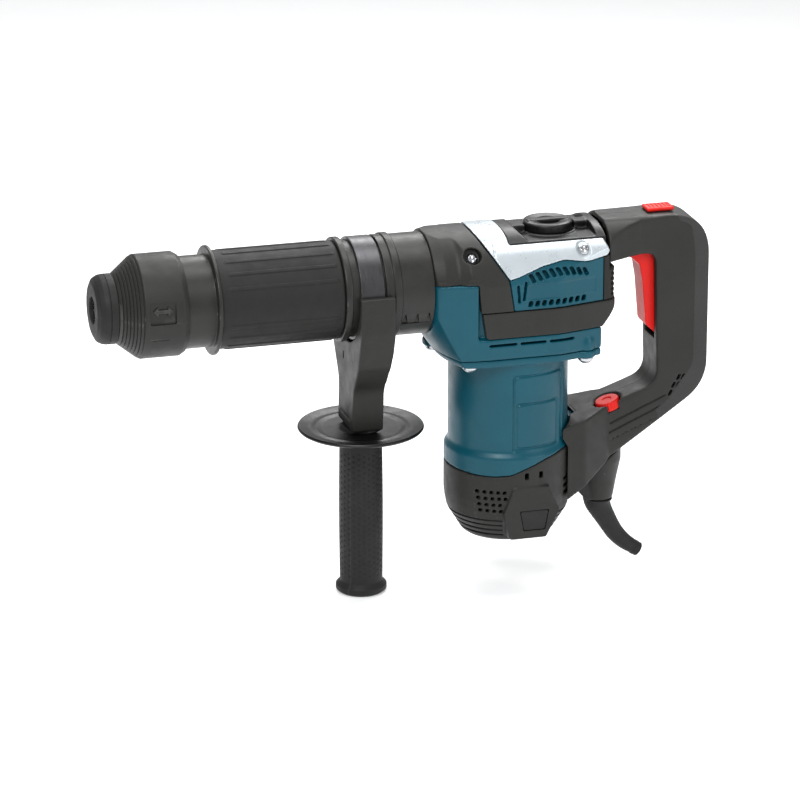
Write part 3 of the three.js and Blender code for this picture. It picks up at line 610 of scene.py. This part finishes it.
def front_cone():
    """The blue castings widen from the barrel towards the motor flange."""
    return lathe("x", [(0, 245), (40, 245), (40, 250), (140, 320), (140, 400), (0, 400)], 144)


INSIDE = envelope(5.3)


def skin(region, inset=0.0, steps=8):
    """The part of the cover shell that lies within a side-view region; its outside is drawn in by `inset`."""
    return common(cut(envelope(inset), INSIDE), prism("y", region, -70, 70, steps=steps))


def slots(places, width, height, lean, low, high):
    """A row of slanted slots through a side wall, each a box between two Y places."""
    made = []
    for x, z in places:
        left, right = x - width / 2, x + width / 2
        bottom, top = z - height / 2, z + height / 2
        corners = [(left - lean, bottom, 0.5), (right - lean, bottom, 0.5), (right + lean, top, 0.5),
                   (left + lean, top, 0.5)]
        made.append(prism("y", corners, low, high, steps=3))
    return made


def both_sides(mesh, cutters):
    for cutter in cutters:
        mesh = cut(mesh, cutter, mirrored(cutter))
    return mesh


EARS = ((278, -34), (367, -37), (265, 23), (367, 37))


WELL_PLACE = (279, -35, 27.5)    # where the shroud screw goes in, and which way its well opens
WELL_ALONG = (0, -0.86, 0.5)


def screw_well(radius, depth):
    """A round bar that stands square to the shoulder of the cover, reaching a depth below its surface."""
    turn = Vector((0, 0, 1)).rotation_difference(Vector(WELL_ALONG)).to_matrix().to_4x4()
    bar = lathe("z", [(0, -depth), (radius, -depth), (radius, 20), (0, 20)], 72)
    return moved(bar, Matrix.Translation(WELL_PLACE) @ turn)


def gear_housing():
    skirt = common(plan(0, -51, -34.6), prism("y", [(249, -52), (379, -52, 2), (379, -34), (249, -34)], -60,
                                              60))
    front = common(plan(0, -52, 7.5), box(249, 281, -60, 60, -52, 7.5), front_cone())
    skirt = common(skirt, front_cone())
    rear = prism("y", [(374, -36), (388, -19), (395, -19), (395, -53), (374, -53)], -60, 60)
    core = cut(common(envelope(5.6), box(250, 400, -60, 60, -51, 25)), rear)
    wall = rod("x", 34.4, 250, 257, 96)
    body = join(core, skirt, front, wall)
    for x, y in EARS:
        top = -24 if x < 300 else -36
        boss = lathe("z", [(0, -51), (7.4, -51), (7, top - 8, 10), (3, top, 3), (0, top)], 48, (x, y))
        body = join(body, boss)
    body = softened(body, 0.8, 6)
    body = common(body, box(200, 420, -60, 60, -51, 60))
    cavity = cut(common(envelope(9), box(250, 379, -60, 60, -46, 21)),
                 prism("y", [(370, -36), (384, -19), (391, -19), (391, -53), (370, -53)], -60, 60))
    cavity = join(cavity, rod("z", 18, -46, -20, 96, CRANK_AT))
    long_slots = [prism("y", [(a, -40.6, 0.8), (b, -40.6, 0.8), (b, -38.6, 0.8), (a, -38.6, 0.8)], -60, -40,
                        steps=4)
                  for a, b in ((289, 310.8), (313, 333.4), (335.7, 356))]
    body = cut(body, cavity, rod("x", 24.5, 245, 262, 96),
               rod("z", 8, -52, -45, 48, MOTOR_AT), rod("z", 6.4, 15, 30, 48, KNOB_AT),
               box(383, 400, -60, 60, 9, 30), rod("z", 30.4, -38, -20, 96, CRANK_AT))
    body = both_sides(body, long_slots + [screw_well(9, 8.5)])
    moulded("gear_housing_blue", softened(body, 0.65, 2), BLUE, "hammer", "gear_housing")


def covers():
    shroud = skin([(249, 7.8), (281.3, 7.8), (283.3, -14), (308, -14), (304.2, 9.4), (279.8, 46.5),
                   (249, 46.5)])
    shroud = cut(shroud, rod("x", 34.7, 245, 257.5, 96),
                 box(240, 281.2, -70, 70, -60, 7.8))
    cup = common(screw_well(8.6, 8), envelope(0))
    shroud = join(shroud, cup, mirrored(cup))
    ledge = common(cut(envelope(-4), envelope(0.7)), prism("y", [(248, 10.4), (303, 10.4), (303, 11.3),
                                                                (248, 11.3)], -70, 0))
    shroud = both_sides(shroud, [screw_well(6.8, 6.2), ledge])
    moulded("shroud_black", softened(shroud, 0.6, 4), BLACK, "hammer", "front_shroud")
    for side, name in ((-1, "left"), (1, "right")):
        screw(f"shroud_screw_{name}", "hammer", (), (279.6, side * 30, 23.6), (0, side * 0.86, 0.5), 4.6,
              3.2)

    trim = skin([(280.6, 47), (304.9, 10.2), (312, 11.8, 10), (330, 18, 14), (348, 21.4, 20),
                 (367, 18.6, 14), (383, 21, 3), (384.8, 24.2, 1.5), (381, 32.4, 1.5), (308.7, 32.4),
                 (308.3, 47)],
                inset=-0.7, steps=10)
    trim = cut(trim, box(308.4, 390, -30.7, 30.7, 20, 60))
    step = prism("y", [(294.5, 25), (295.7, 25), (301.7, 60), (300.5, 60)], -70, 70)
    trim = cut(trim, common(step, cut(envelope(-4), envelope(0.1))))
    dent = common(rod("y", 5.4, -60, -20, 64, (364, 26.6)),
                  cut(envelope(-4), envelope(0.4)))
    trim = both_sides(trim, [dent])
    moulded("trim_silver", softened(trim, 0.55, 7), SILVER, "hammer", "side_trim")
    for side, name in ((-1, "left"), (1, "right")):
        screw(f"trim_screw_{name}", "hammer", (), (364, side * 37.6, 26.8), (0, side, 0.75), 4.4, 2.2)

    outside = envelope(0)
    bed = common(outside, box(308.9, 384, -30.4, 30.4, 25.3, 33.5))
    slope = prism("y", [(308.9, 25.3), (324, 25.3), (324, 33.5), (312, 46), (308.9, 46)], -30.4, 30.4)
    rear = prism("y", [(376.5, 25.3), (384, 25.3), (384, 60), (379.5, 60), (377, 33.5)], -30.4, 30.4)
    wings = [box(318, 329, -5.4, 5.4, 33, 39, 1), box(367, 379, -5.4, 5.4, 33, 39, 1)]
    top = join(bed, common(outside, slope), common(outside, rear), *wings)
    ring = lathe("z", [(19.6, 33), (21.4, 33), (21.4, 34.6, 0.4), (19.6, 34.6, 0.4)], 96, KNOB_AT)
    top = cut(join(top, ring), rod("z", 6.4, 20, 45, 48, KNOB_AT),
              rod("z", 18.9, 33.5, 45, 96, KNOB_AT))
    moulded("top_black", softened(top, 0.6, 3), DARK, "hammer", "top_cover")

    vent = skin([(308.6, -14), (305, 9.2), (312, 11.2, 8), (330, 17.3, 14), (348, 20.7, 20),
                 (367, 17.8, 14), (380, 19.6), (380, -14)], inset=0.8)
    count = 9
    rising = [(322.5 + 5.3 * i, 9.6 + 3.4 * math.sin(math.pi * i / count)) for i in range(count)]
    upper = slots(rising, 3.3, 6.4, -1.7, -60, -37)
    lower = slots([(321 + 5.3 * i, -9.6) for i in range(9)], 3.3, 4.4, 0.5, -60, -37)
    tall = slots([(311.8, -1.5)], 1.9, 14, -0.6, -60, -37) + slots([(316.6, 0.5)], 1.9, 15, 0.9, -60, -37)
    pane = common(prism("y", [(319.5, -6.6, 2), (374, -6.6, 2), (374, 5.4, 3), (319.5, 5.4, 3)], -70, -30),
                  cut(envelope(-4), envelope(1.4)))
    vent = both_sides(vent, upper + lower + tall + [pane])
    vent = softened(vent, 0.6, 3)
    for name, low, high in (("left", -70, -0.15), ("right", 0.15, 70)):
        half = common(vent, box(290, 400, low, high, -60, 60))
        piece(f"vent_{name}_blue", half, BLUE, "hammer", [f"vent_panel_{name}"], edge=0, angle=50)

    strip = skin([(284, -14.6, 1), (393, -14.6), (393, -19), (379.5, -34.2), (287, -34.2, 2)], inset=-0.5)
    strip = cut(strip, box(280, 300, -39, 39, -40, 0))
    moulded("strip_black", softened(strip, 0.6, 7), BLACK, "hammer", "side_strip")

    cap = skin([(380.3, -14), (393, -14), (393, 9), (385, 9), (385, 20.2), (380.3, 19.5)], inset=0.2)
    cap = cut(cap, cut(box(370, 400, -60, 60, 9, 25), box(380, 385, -60, 60, 0, 30)))
    for z in (-10.5, -6.5, -2.5, 1.5, 5.5):
        pleat = common(cut(envelope(-4), envelope(1.7)), box(386.5, 400, -60, 60, z - 0.9, z + 0.9))
        cap = cut(cap, pleat)
    moulded("rear_cap_rubber", softened(cap, 0.55, 3), RUBBER, "hammer", "rear_cap")


# ---------------------------------------------------------------- motor
SEAM = [(265, -143.5), (282, -145.2), (296, -145.5), (308, -144.2), (320, -139.5), (335, -134), (349, -131),
        (371, -131)]


def oval(a, b, low, high, segments=144):
    return lathe("z", [(0, low), (1, low), (1, high), (0, high)], segments, MOTOR_AT, squash=(a, b))


def motor():
    above = [(264, -40)] + [(x, z + GAP) for x, z in SEAM] + [(372, -40)]
    wall = [(0, -150), (1, -150), (1, -131, 0), (0.938, -126.5, 0), (0.938, -56), (0, -56)]
    case = lathe("z", wall, 192, MOTOR_AT, squash=CASE)
    case = common(case, prism("y", above, -60, 60, steps=2))
    flange = common(plan(1, -57, -51.3), box(255, 379, -60, 60, -60, -50), front_cone())
    case = join(case, flange, box(363.5, 386, -7, 7, -130, -114))
    for place in EARS:
        case = join(case, lathe("z", [(0, -57.1), (7.4, -57.1), (7.4, -51.3), (0, -51.3)], 48, place))
    case = softened(case, 0.8, 7)
    case = common(case, box(200, 420, -60, 60, -160, -51.3))
    case = cut(case, oval(42, 40.6, -151, -60),
               oval(44.5, 41.5, -151, -128), rod("z", 14.3, -61, -51, 72, MOTOR_AT),
               rod("y", 4.2, -10, 10, 48, PIVOT_AT))
    for place in EARS:
        case = cut(case, lathe("z", [(0, -60), (2.6, -60), (2.6, -50), (0, -50)], 24, place))
    outer = oval(60, 60, -150, -50)
    kept = oval(44.4, 41.5, -150, -50, 192)
    shallow = cut(outer, kept)
    frame_line = cut(prism("y", [(311, -125, 3), (347.5, -125, 3), (347.5, -88, 3), (311, -88, 3)], -70,
                           -20, steps=6),
                     prism("y", [(313, -123, 2), (345.5, -123, 2), (345.5, -90, 2), (313, -90, 2)],
                           -80, -10, steps=6))
    label = cut(prism("y", [(309, -127, 3), (352, -124, 3), (352, -66, 4), (309, -66, 4)], -70, -20,
                      steps=6),
                prism("y", [(310.8, -150), (350.2, -150), (350.2, -68, 3), (310.8, -68, 3)], -80, -10,
                      steps=6))
    case = both_sides(case, [common(shallow, frame_line), common(shallow, label)])
    moulded("motor_blue", softened(case, 0.65, 2), BLUE, "hammer", "motor_housing")

    below = [(264, -210), (372, -210)] + list(reversed(SEAM)) + [(264, SEAM[0][1])]
    outline = [(0, -200.5), (0.66, -200.5), (0.7, -199.2), (0.735, -198), (0.95, -181), (0.985, -173),
               (1, -166), (1, -120), (0, -120)]
    bell = lathe("z", outline, 192, MOTOR_AT, squash=CASE)
    inner = lathe("z", [(0, -196.5), (0.68, -196.5), (0.74, -194), (0.84, -185.5), (0.94, -175),
                        (1, -165.5), (1, -119), (0, -119)], 144, MOTOR_AT, squash=(44.5, 41.5))
    cap = common(bell, prism("y", below, -60, 60, steps=2))
    hexagon = [(309, -154, 2), (337, -154, 2), (345.5, -173.5, 2), (335, -194.5, 2), (306, -194.5, 2),
               (301.5, -173.5, 2)]
    hexagon.reverse()
    block = prism("y", hexagon, -46.4, -22, edge=3)
    cap = join(cap, block, mirrored(block))
    cap = softened(cap, 0.8, 4)
    wide_block = prism("y", inset_corners(hexagon, -1), -60, 0)
    for low, reach in ((-181.6, 0.915), (-186.2, 0.86), (-190.8, 0.8), (-195.4, 0.735)):
        ring = lathe("z", [(reach, low), (1.2, low), (1.2, low + 1.5), (reach, low + 1.5)], 144, MOTOR_AT,
                     squash=CASE)
        cap = cut(cap, cut(ring, wide_block, mirrored(wide_block)))
    cap = cut(cap, inner)
    cap = join(cap, cut(rod("z", 15, -198, -184, 72, MOTOR_AT),
                        rod("z", 12.3, -197, -180, 72, MOTOR_AT)))
    holes = []
    for row, count in ((-157.5, 5), (-162.5, 5), (-167.5, 4), (-172.5, 4)):
        for i in range(count):
            x = 283 + 4.6 * i + (-157.5 - row) * 0.15
            corners = [(x, row - 1.4), (x + 2.5, row - 1.4), (x + 2.9, row + 1.2), (x + 0.4, row + 1.2)]
            holes.append(prism("y", corners, -60, -20))
    for x in (319.5, 331):
        holes.append(prism("y", [(x - 1.6, -148, 0.3), (x + 1.6, -148, 0.3), (x + 1.6, -142.8, 0.3),
                                 (x - 1.6, -142.8, 0.3)], -60, -37, steps=2))
    for z in (-155, -160.5, -166):
        holes.append(prism("y", [(352.5, z - 1.4), (358.5, z - 1.4), (358.5, z + 1.4), (352.5, z + 1.4)],
                           -60, -20))
    pad = prism("y", list(reversed([(314, -172.4, 1), (337, -172.4, 1), (334, -188.4, 1),
                                    (317, -188.4, 1)])), -60, -44)
    bore = rod("y", 6.3, -43.9, -20, 64, BRUSH_AT)
    cap = both_sides(cap, holes + [pad, bore])
    moulded("motor_cap_black", softened(cap, 0.45, 1), BLACK, "hammer", "motor_cap")
    cover = join(prism("y", list(reversed([(314.6, -173, 1), (336.4, -173, 1), (333.6, -187.8, 1),
                                           (317.4, -187.8, 1)])),
                       -45.9, -44.1, edge=0.5),
                 rod("y", 6, -44, -33, 48, BRUSH_AT))
    piece("brush_cover_near", cover, DARK, "hammer", ["brush_cover_left"], edge=0.1)
    piece("brush_cover_far", mirrored(cover), DARK, "hammer", ["brush_cover_right"], edge=0.1)
    for i, (x, y) in enumerate(EARS):
        screw(f"ear_screw_{i + 1}", "hammer", [f"flange_screw_{i + 1}"], (x, y, -57.4), (0, 0, -1), 5.6,
              4.4)


def knob():
    disc = lathe("z", [(0, 22), (6, 22), (6, 33.8), (18.4, 33.8, 0.6), (18.4, 40.2, 1.6), (15.5, 41, 1),
                       (9.5, 40, 1), (8.5, 37.6, 0.6), (0, 37.6)], 144, KNOB_AT)
    bar = box(331.5, 364.5, -3.6, 3.6, 36.5, 41.6, 1.2)
    disc = join(disc, bar)
    grooves = []
    for i in range(20):
        angle = math.radians(18 * i + 9)
        turn = Matrix.Translation((348, 0, 0)) @ Matrix.Rotation(angle, 4, "Z")
        grooves.append(moved(box(18, 20, -0.5, 0.5, 33, 38.2), turn))
    disc = cut(disc, *grooves)
    moulded("knob_black", softened(disc, 0.45, 3), DARK, "selector_knob", "selector_knob")


# ---------------------------------------------------------------- D-handle
D_OUTLINE = [(340, -184.9), (471, -94.5, 38), (471, 41, 34), (387, 41), (387, 12), (428, 12, 8),
             (431, -91, 16), (340, -120)]
ARM_SLOPE = 0.317
ARM_TILT = math.atan(ARM_SLOPE)
DIAL_X, DIAL_Y = 393.5, -9


def d_solid(inset):
    width = GRIP_HALF - inset
    core = prism("y", inset_corners(D_OUTLINE, inset), -width, width, steps=14, edge=7 - inset,
                 edge_steps=5)
    front = 386 if inset else 387
    flare = prism("z", [(front, -31.5 + inset), (404, -23 + inset, 10), (420, -16 + inset),
                        (420, 16 - inset), (404, 23 - inset, 10), (front, 31.5 - inset)], 12 + inset,
                        41 - inset, steps=8)
    half, reach = 34 - inset, 30 - inset
    round_top = prism("x", [(-half, 0), (half, 0), (half, 41 - inset, reach), (-half, 41 - inset, reach)],
                      380, 425, steps=20)
    root = prism("z", [(338, -31 + inset), (370, -31 + inset), (396, -17 + inset, 12),
                       (396, 17 - inset, 12), (370, 31 - inset), (338, 31 - inset)], -190, -90, steps=8)
    arm = prism("y", inset_corners(D_OUTLINE, inset), -60, 60, steps=14)
    return join(core, common(flare, round_top), common(root, arm))


def dial_place():
    """Moves a dial from the origin onto the sloping top of the lower arm."""
    surface = -91 + (DIAL_X - 431) * ARM_SLOPE
    return Matrix.Translation((DIAL_X, DIAL_Y, surface)) @ Matrix.Rotation(-ARM_TILT, 4, "Y")


def rear_handle():
    around = lathe("z", [(0, -210), (1, -210), (1, -130.5), (0.936, -123.5), (0.936, -90), (0, -90)], 144,
                   MOTOR_AT, squash=(50.3, 47.3))
    around = join(around, box(300, 318, -60, 60, -210, -90))
    outer = softened(d_solid(0), 0.8, 18)
    outer = common(cut(outer, around), box(340, 480, -60, 60, -180, 41))
    hollow = cut(d_solid(3.2), oval(53.1, 50.1, -210, -90))
    zone = [(444, 60), (446, 36, 4), (456, 32, 8), (459, 10, 10), (459, -78, 20), (440, -104, 8),
            (430, -112), (440, -150), (490, -150), (490, 60)]
    soft_zone = prism("y", list(reversed(zone)), -60, 60, steps=10)
    wide_zone = prism("y", inset_corners(list(reversed(zone)), -0.7), -61, 61, steps=10)
    skin_shape = d_solid(1.9)
    soft = common(cut(outer, skin_shape), soft_zone)
    moulded("overmould_rubber", softened(soft, 0.5, 3), SOFT, "rear_handle", "grip_overmould")

    shell = cut(outer, hollow)
    shell = cut(shell, common(cut(outer.copy(), d_solid(2.3)), wide_zone))
    pin = rod("y", 3.5, -14, 14, 48, PIVOT_AT)
    gland = rod("z", 8.4, -190, -130, 64, GLAND_AT)
    dial = moved(lathe("z", [(0, -7.5), (10.1, -7.5), (10.1, -2), (13, 0.6), (13, 12), (0, 12)], 96),
                 dial_place())
    shell = cut(shell, box(355, 389, -8.2, 8.2, -133, -111), pin, box(403, 442, -11, 11, -57, 20),
                box(427.5, 440.5, -3.6, 3.6, 30, 60), box(423.6, 446.4, -8, 8, 41.2, 60), dial, gland)
    features = []
    for start, end, thick in (((393.8, -119.8), (438.2, -101), 1.7), ((393, -127.2), (439, -107.4), 1.7),
                              ((392.5, -134), (432, -117.5), 1.2)):
        features.append(prism("y", [(start[0], start[1] - thick / 2), (end[0], end[1] - thick / 2),
                                    (end[0], end[1] + thick / 2), (start[0], start[1] + thick / 2)], -60,
                              -15.9))
    shell = both_sides(shell, features)
    vents = []
    pitch = 3.6
    for z, x0, x1 in ((-87.5, 447.5, 457), (-93.5, 443.5, 457.5), (-99.5, 441, 455), (-105.5, 444, 449)):
        for i in range(max(1, round((x1 - x0) / pitch))):
            x = x0 + pitch * i
            corners = [(x - 1.6, z - 2.2), (x + 0.7, z - 2.2), (x + 2.9, z + 2.2), (x + 0.6, z + 2.2)]
            vents.append(prism("y", corners, -60, -13))
    shell = both_sides(shell, vents)
    shell = softened(shell, 0.6, 2)
    for name, low, high in (("left", -70, -0.12), ("right", 0.12, 70)):
        half = common(shell, box(340, 480, low, high, -180, 60))
        piece(f"handle_{name}_black", half, BLACK, "rear_handle", [f"handle_shell_{name}"], edge=0,
              angle=50)

    blade = prism("y", list(reversed([(404.8, 11.2), (404.8, 8.9, 1), (411, 8.2, 3), (418, 2, 6),
                                      (420.5, -12, 20), (423.5, -46, 6), (431, -53, 1), (434, -50),
                                      (434, 11.2)])), -10.4,
                  10.4, steps=8)
    blade = softened(join(blade, box(406.5, 413.5, -9, 9, 10, 18.5)), 0.5, 9)
    piece("trigger_red", blade, RED, "trigger", ["trigger"], edge=0, angle=60)
    lock = join(box(424.3, 445.7, -7.3, 7.3, 41.4, 44.3, 1.2), box(433, 439.5, -3.2, 3.2, 32, 42))
    for x in (427.5, 430.5, 433.5, 436.5, 439.5, 442.5):
        lock = cut(lock, box(x - 0.5, x + 0.5, -5.5, 5.5, 43.8, 46))
    piece("lock_red", lock, RED, "lock_button", ["lock_button"], edge=0.15)

    def ribbed(radius, height, angle):
        return radius if radius < 8.8 else radius - 0.5 * (0.5 + 0.5 * math.cos(angle * 30))

    wheel = lathe("z", [(0, -6.8), (9.4, -6.8), (9.4, -0.9, 0.5), (8.5, 0.2, 0.8), (4, 0.2, 0.6),
                        (3.2, -0.7, 0.5), (0, -0.7)], 240, warp=ribbed)
    piece("dial_red", moved(wheel, dial_place()), RED, "speed_dial", ["speed_dial"], edge=0, angle=50)


BOOT = [(390.4, -184.4, 11.6), (390.6, -188.5, 10), (393.5, -195, 8.7), (397.4, -202, 7.8),
        (401.4, -209, 7.2),
        (405.8, -215.6, 6.8), (413, -223, 6.1), (423.4, -230.2, 5.2)]


def tube_along(stations, segments=48):
    """A round tapering solid along a path in the middle plane, from [x, z, radius] stations."""
    bm = bmesh.new()
    rings = []
    for i, (x, z, radius) in enumerate(stations):
        before, after = stations[max(i - 1, 0)], stations[min(i + 1, len(stations) - 1)]
        run = Vector((after[0] - before[0], 0, after[1] - before[1])).normalized()
        side = run.cross(Vector((0, 1, 0)))
        ring = []
        for k in range(segments):
            angle = 2 * math.pi * k / segments
            ring.append(bm.verts.new(Vector((x, 0, z)) + side * radius * math.cos(angle)
                                     + Vector((0, radius * math.sin(angle), 0))))
        rings.append(ring)
    for near, far in zip(rings, rings[1:]):
        for k in range(segments):
            bm.faces.new((near[k - 1], near[k], far[k], far[k - 1]))
    bm.faces.new(rings[0])
    bm.faces.new(list(reversed(rings[-1])))
    return to_mesh(bm)


def smooth_path(stations, parts=6):
    """Catmull-Rom points through the stations."""
    points = []
    for i in range(len(stations) - 1):
        p0, p1 = stations[max(i - 1, 0)], stations[i]
        p2, p3 = stations[i + 1], stations[min(i + 2, len(stations) - 1)]
        for step in range(parts):
            t = step / parts
            points.append(tuple(0.5 * (2 * b + (c - a) * t + (2 * a - 5 * b + 4 * c - d) * t * t
                                       + (3 * b - a - 3 * c + d) * t ** 3) for a, b, c,
                                d in zip(p0, p1, p2, p3)))
    points.append(stations[-1])
    return points


def cable_entry():
    arm = prism("y", inset_corners(D_OUTLINE, -GAP), -30, 30, steps=14)
    cone = lathe("z", [(0, -183.9), (11.2, -183.9, 0.6), (11.7, -182.5, 0.6), (14.5, -166, 8), (17.4, -152),
                       (17.4, -140), (0, -140)], 96, GLAND_AT)
    web = prism("y", [(369.5, -160), (369.5, -172.5, 2), (379.6, -183.9), (392, -183.9), (392, -150)], -9,
                9)
    cone = softened(join(cone, web), 0.7, 8)
    cone = cut(cone, box(360, 420, -30, 30, -200, -183.9), arm, rod("z", 5, -190, -130, 48, GLAND_AT),
               box(405.6, 412, -3, 3, -170, -160))
    moulded("gland_black", softened(cone, 0.5, 3), BLACK, "rear_handle", "cable_gland")
    boot = tube_along(smooth_path(BOOT))
    bore = tube_along([(414, -224.6, 3.1), (420, -228.4, 3.3), (428, -232.8, 3.3)])
    lip = tube_along([(419.8, -227.9, 5.75), (424.0, -230.7, 5.45)])
    boot = cut(join(boot, lip), bore, box(370, 410, -20, 20, -184.2, -170))
    moulded("boot_rubber", softened(boot, 0.4, 3), RUBBER, "rear_handle", "cable_boot")


dress_kept_nodes()
nose()
sleeve_spring()
barrel()
side_handle()
gear_housing()
covers()
motor()
knob()
rear_handle()
cable_entry()


# ---------------------------------------------------------------- studio
def studio():
    floor_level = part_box("side_grip")[0][2]
    mesh = bpy.data.meshes.new("floor")
    half_side = 9
    bm = bmesh.new()
    corners = ((-half_side, -half_side), (half_side, -half_side), (half_side, half_side),
               (-half_side, half_side))
    bm.faces.new([bm.verts.new((x, y, floor_level)) for x, y in corners])
    bm.to_mesh(mesh)
    bm.free()
    floor = bpy.data.objects.new("floor", mesh)
    bpy.context.scene.collection.objects.link(floor)
    for face in mesh.polygons:
        face.use_smooth = True
    paper = finish("paper", screen(232, 233, 234), 0.85, grain=300, depth=0.02, mottle=0.01)
    shader = paper.node_tree.nodes["Principled BSDF"]
    shader.inputs["Emission Color"].default_value = (1, 1, 1, 1)
    shader.inputs["Emission Strength"].default_value = 0.32
    mesh.materials.append(paper)

    bpy.context.scene.view_settings.view_transform = "Standard"
    world = bpy.data.worlds.new("studio")
    bpy.context.scene.world = world
    world.use_nodes = True
    world.node_tree.nodes["Background"].inputs["Color"].default_value = (1, 1, 1, 1)
    world.node_tree.nodes["Background"].inputs["Strength"].default_value = 0.42

    target = Vector((-0.2154, 0, -0.0614))
    for name, place, size, power in (
            ("key", (-0.9, -1.3, 1.5), (1.1, 0.8), 30), ("fill", (1.1, -1.5, 0.5), (1.0, 1.0), 8),
            ("top", (-0.1, 0.2, 1.6), (1.6, 0.7), 20), ("rim", (0.3, 1.0, 0.9), (1.2, 0.4), 14)):
        light = bpy.data.lights.new(name, "AREA")
        light.shape = "RECTANGLE"
        light.size, light.size_y = size
        light.energy = power
        lamp = bpy.data.objects.new(name, light)
        lamp.location = place
        lamp.rotation_euler = (target - Vector(place)).to_track_quat("-Z", "Y").to_euler()
        bpy.context.scene.collection.objects.link(lamp)

    camera = bpy.data.cameras.new("camera")
    camera.sensor_width = 36
    distance, width = 3.4, 0.599
    camera.lens = 36 * distance / width
    camera.clip_end = 50
    eye = bpy.data.objects.new("camera", camera)
    azimuth, elevation = math.radians(-16), math.radians(19)
    back = Vector((math.sin(azimuth) * math.cos(elevation), -math.cos(azimuth) * math.cos(elevation),
                   math.sin(elevation)))
    eye.location = target + back * distance
    eye.rotation_euler = (-back).to_track_quat("-Z", "Y").to_euler()
    bpy.context.scene.collection.objects.link(eye)
    bpy.context.scene.camera = eye


studio()
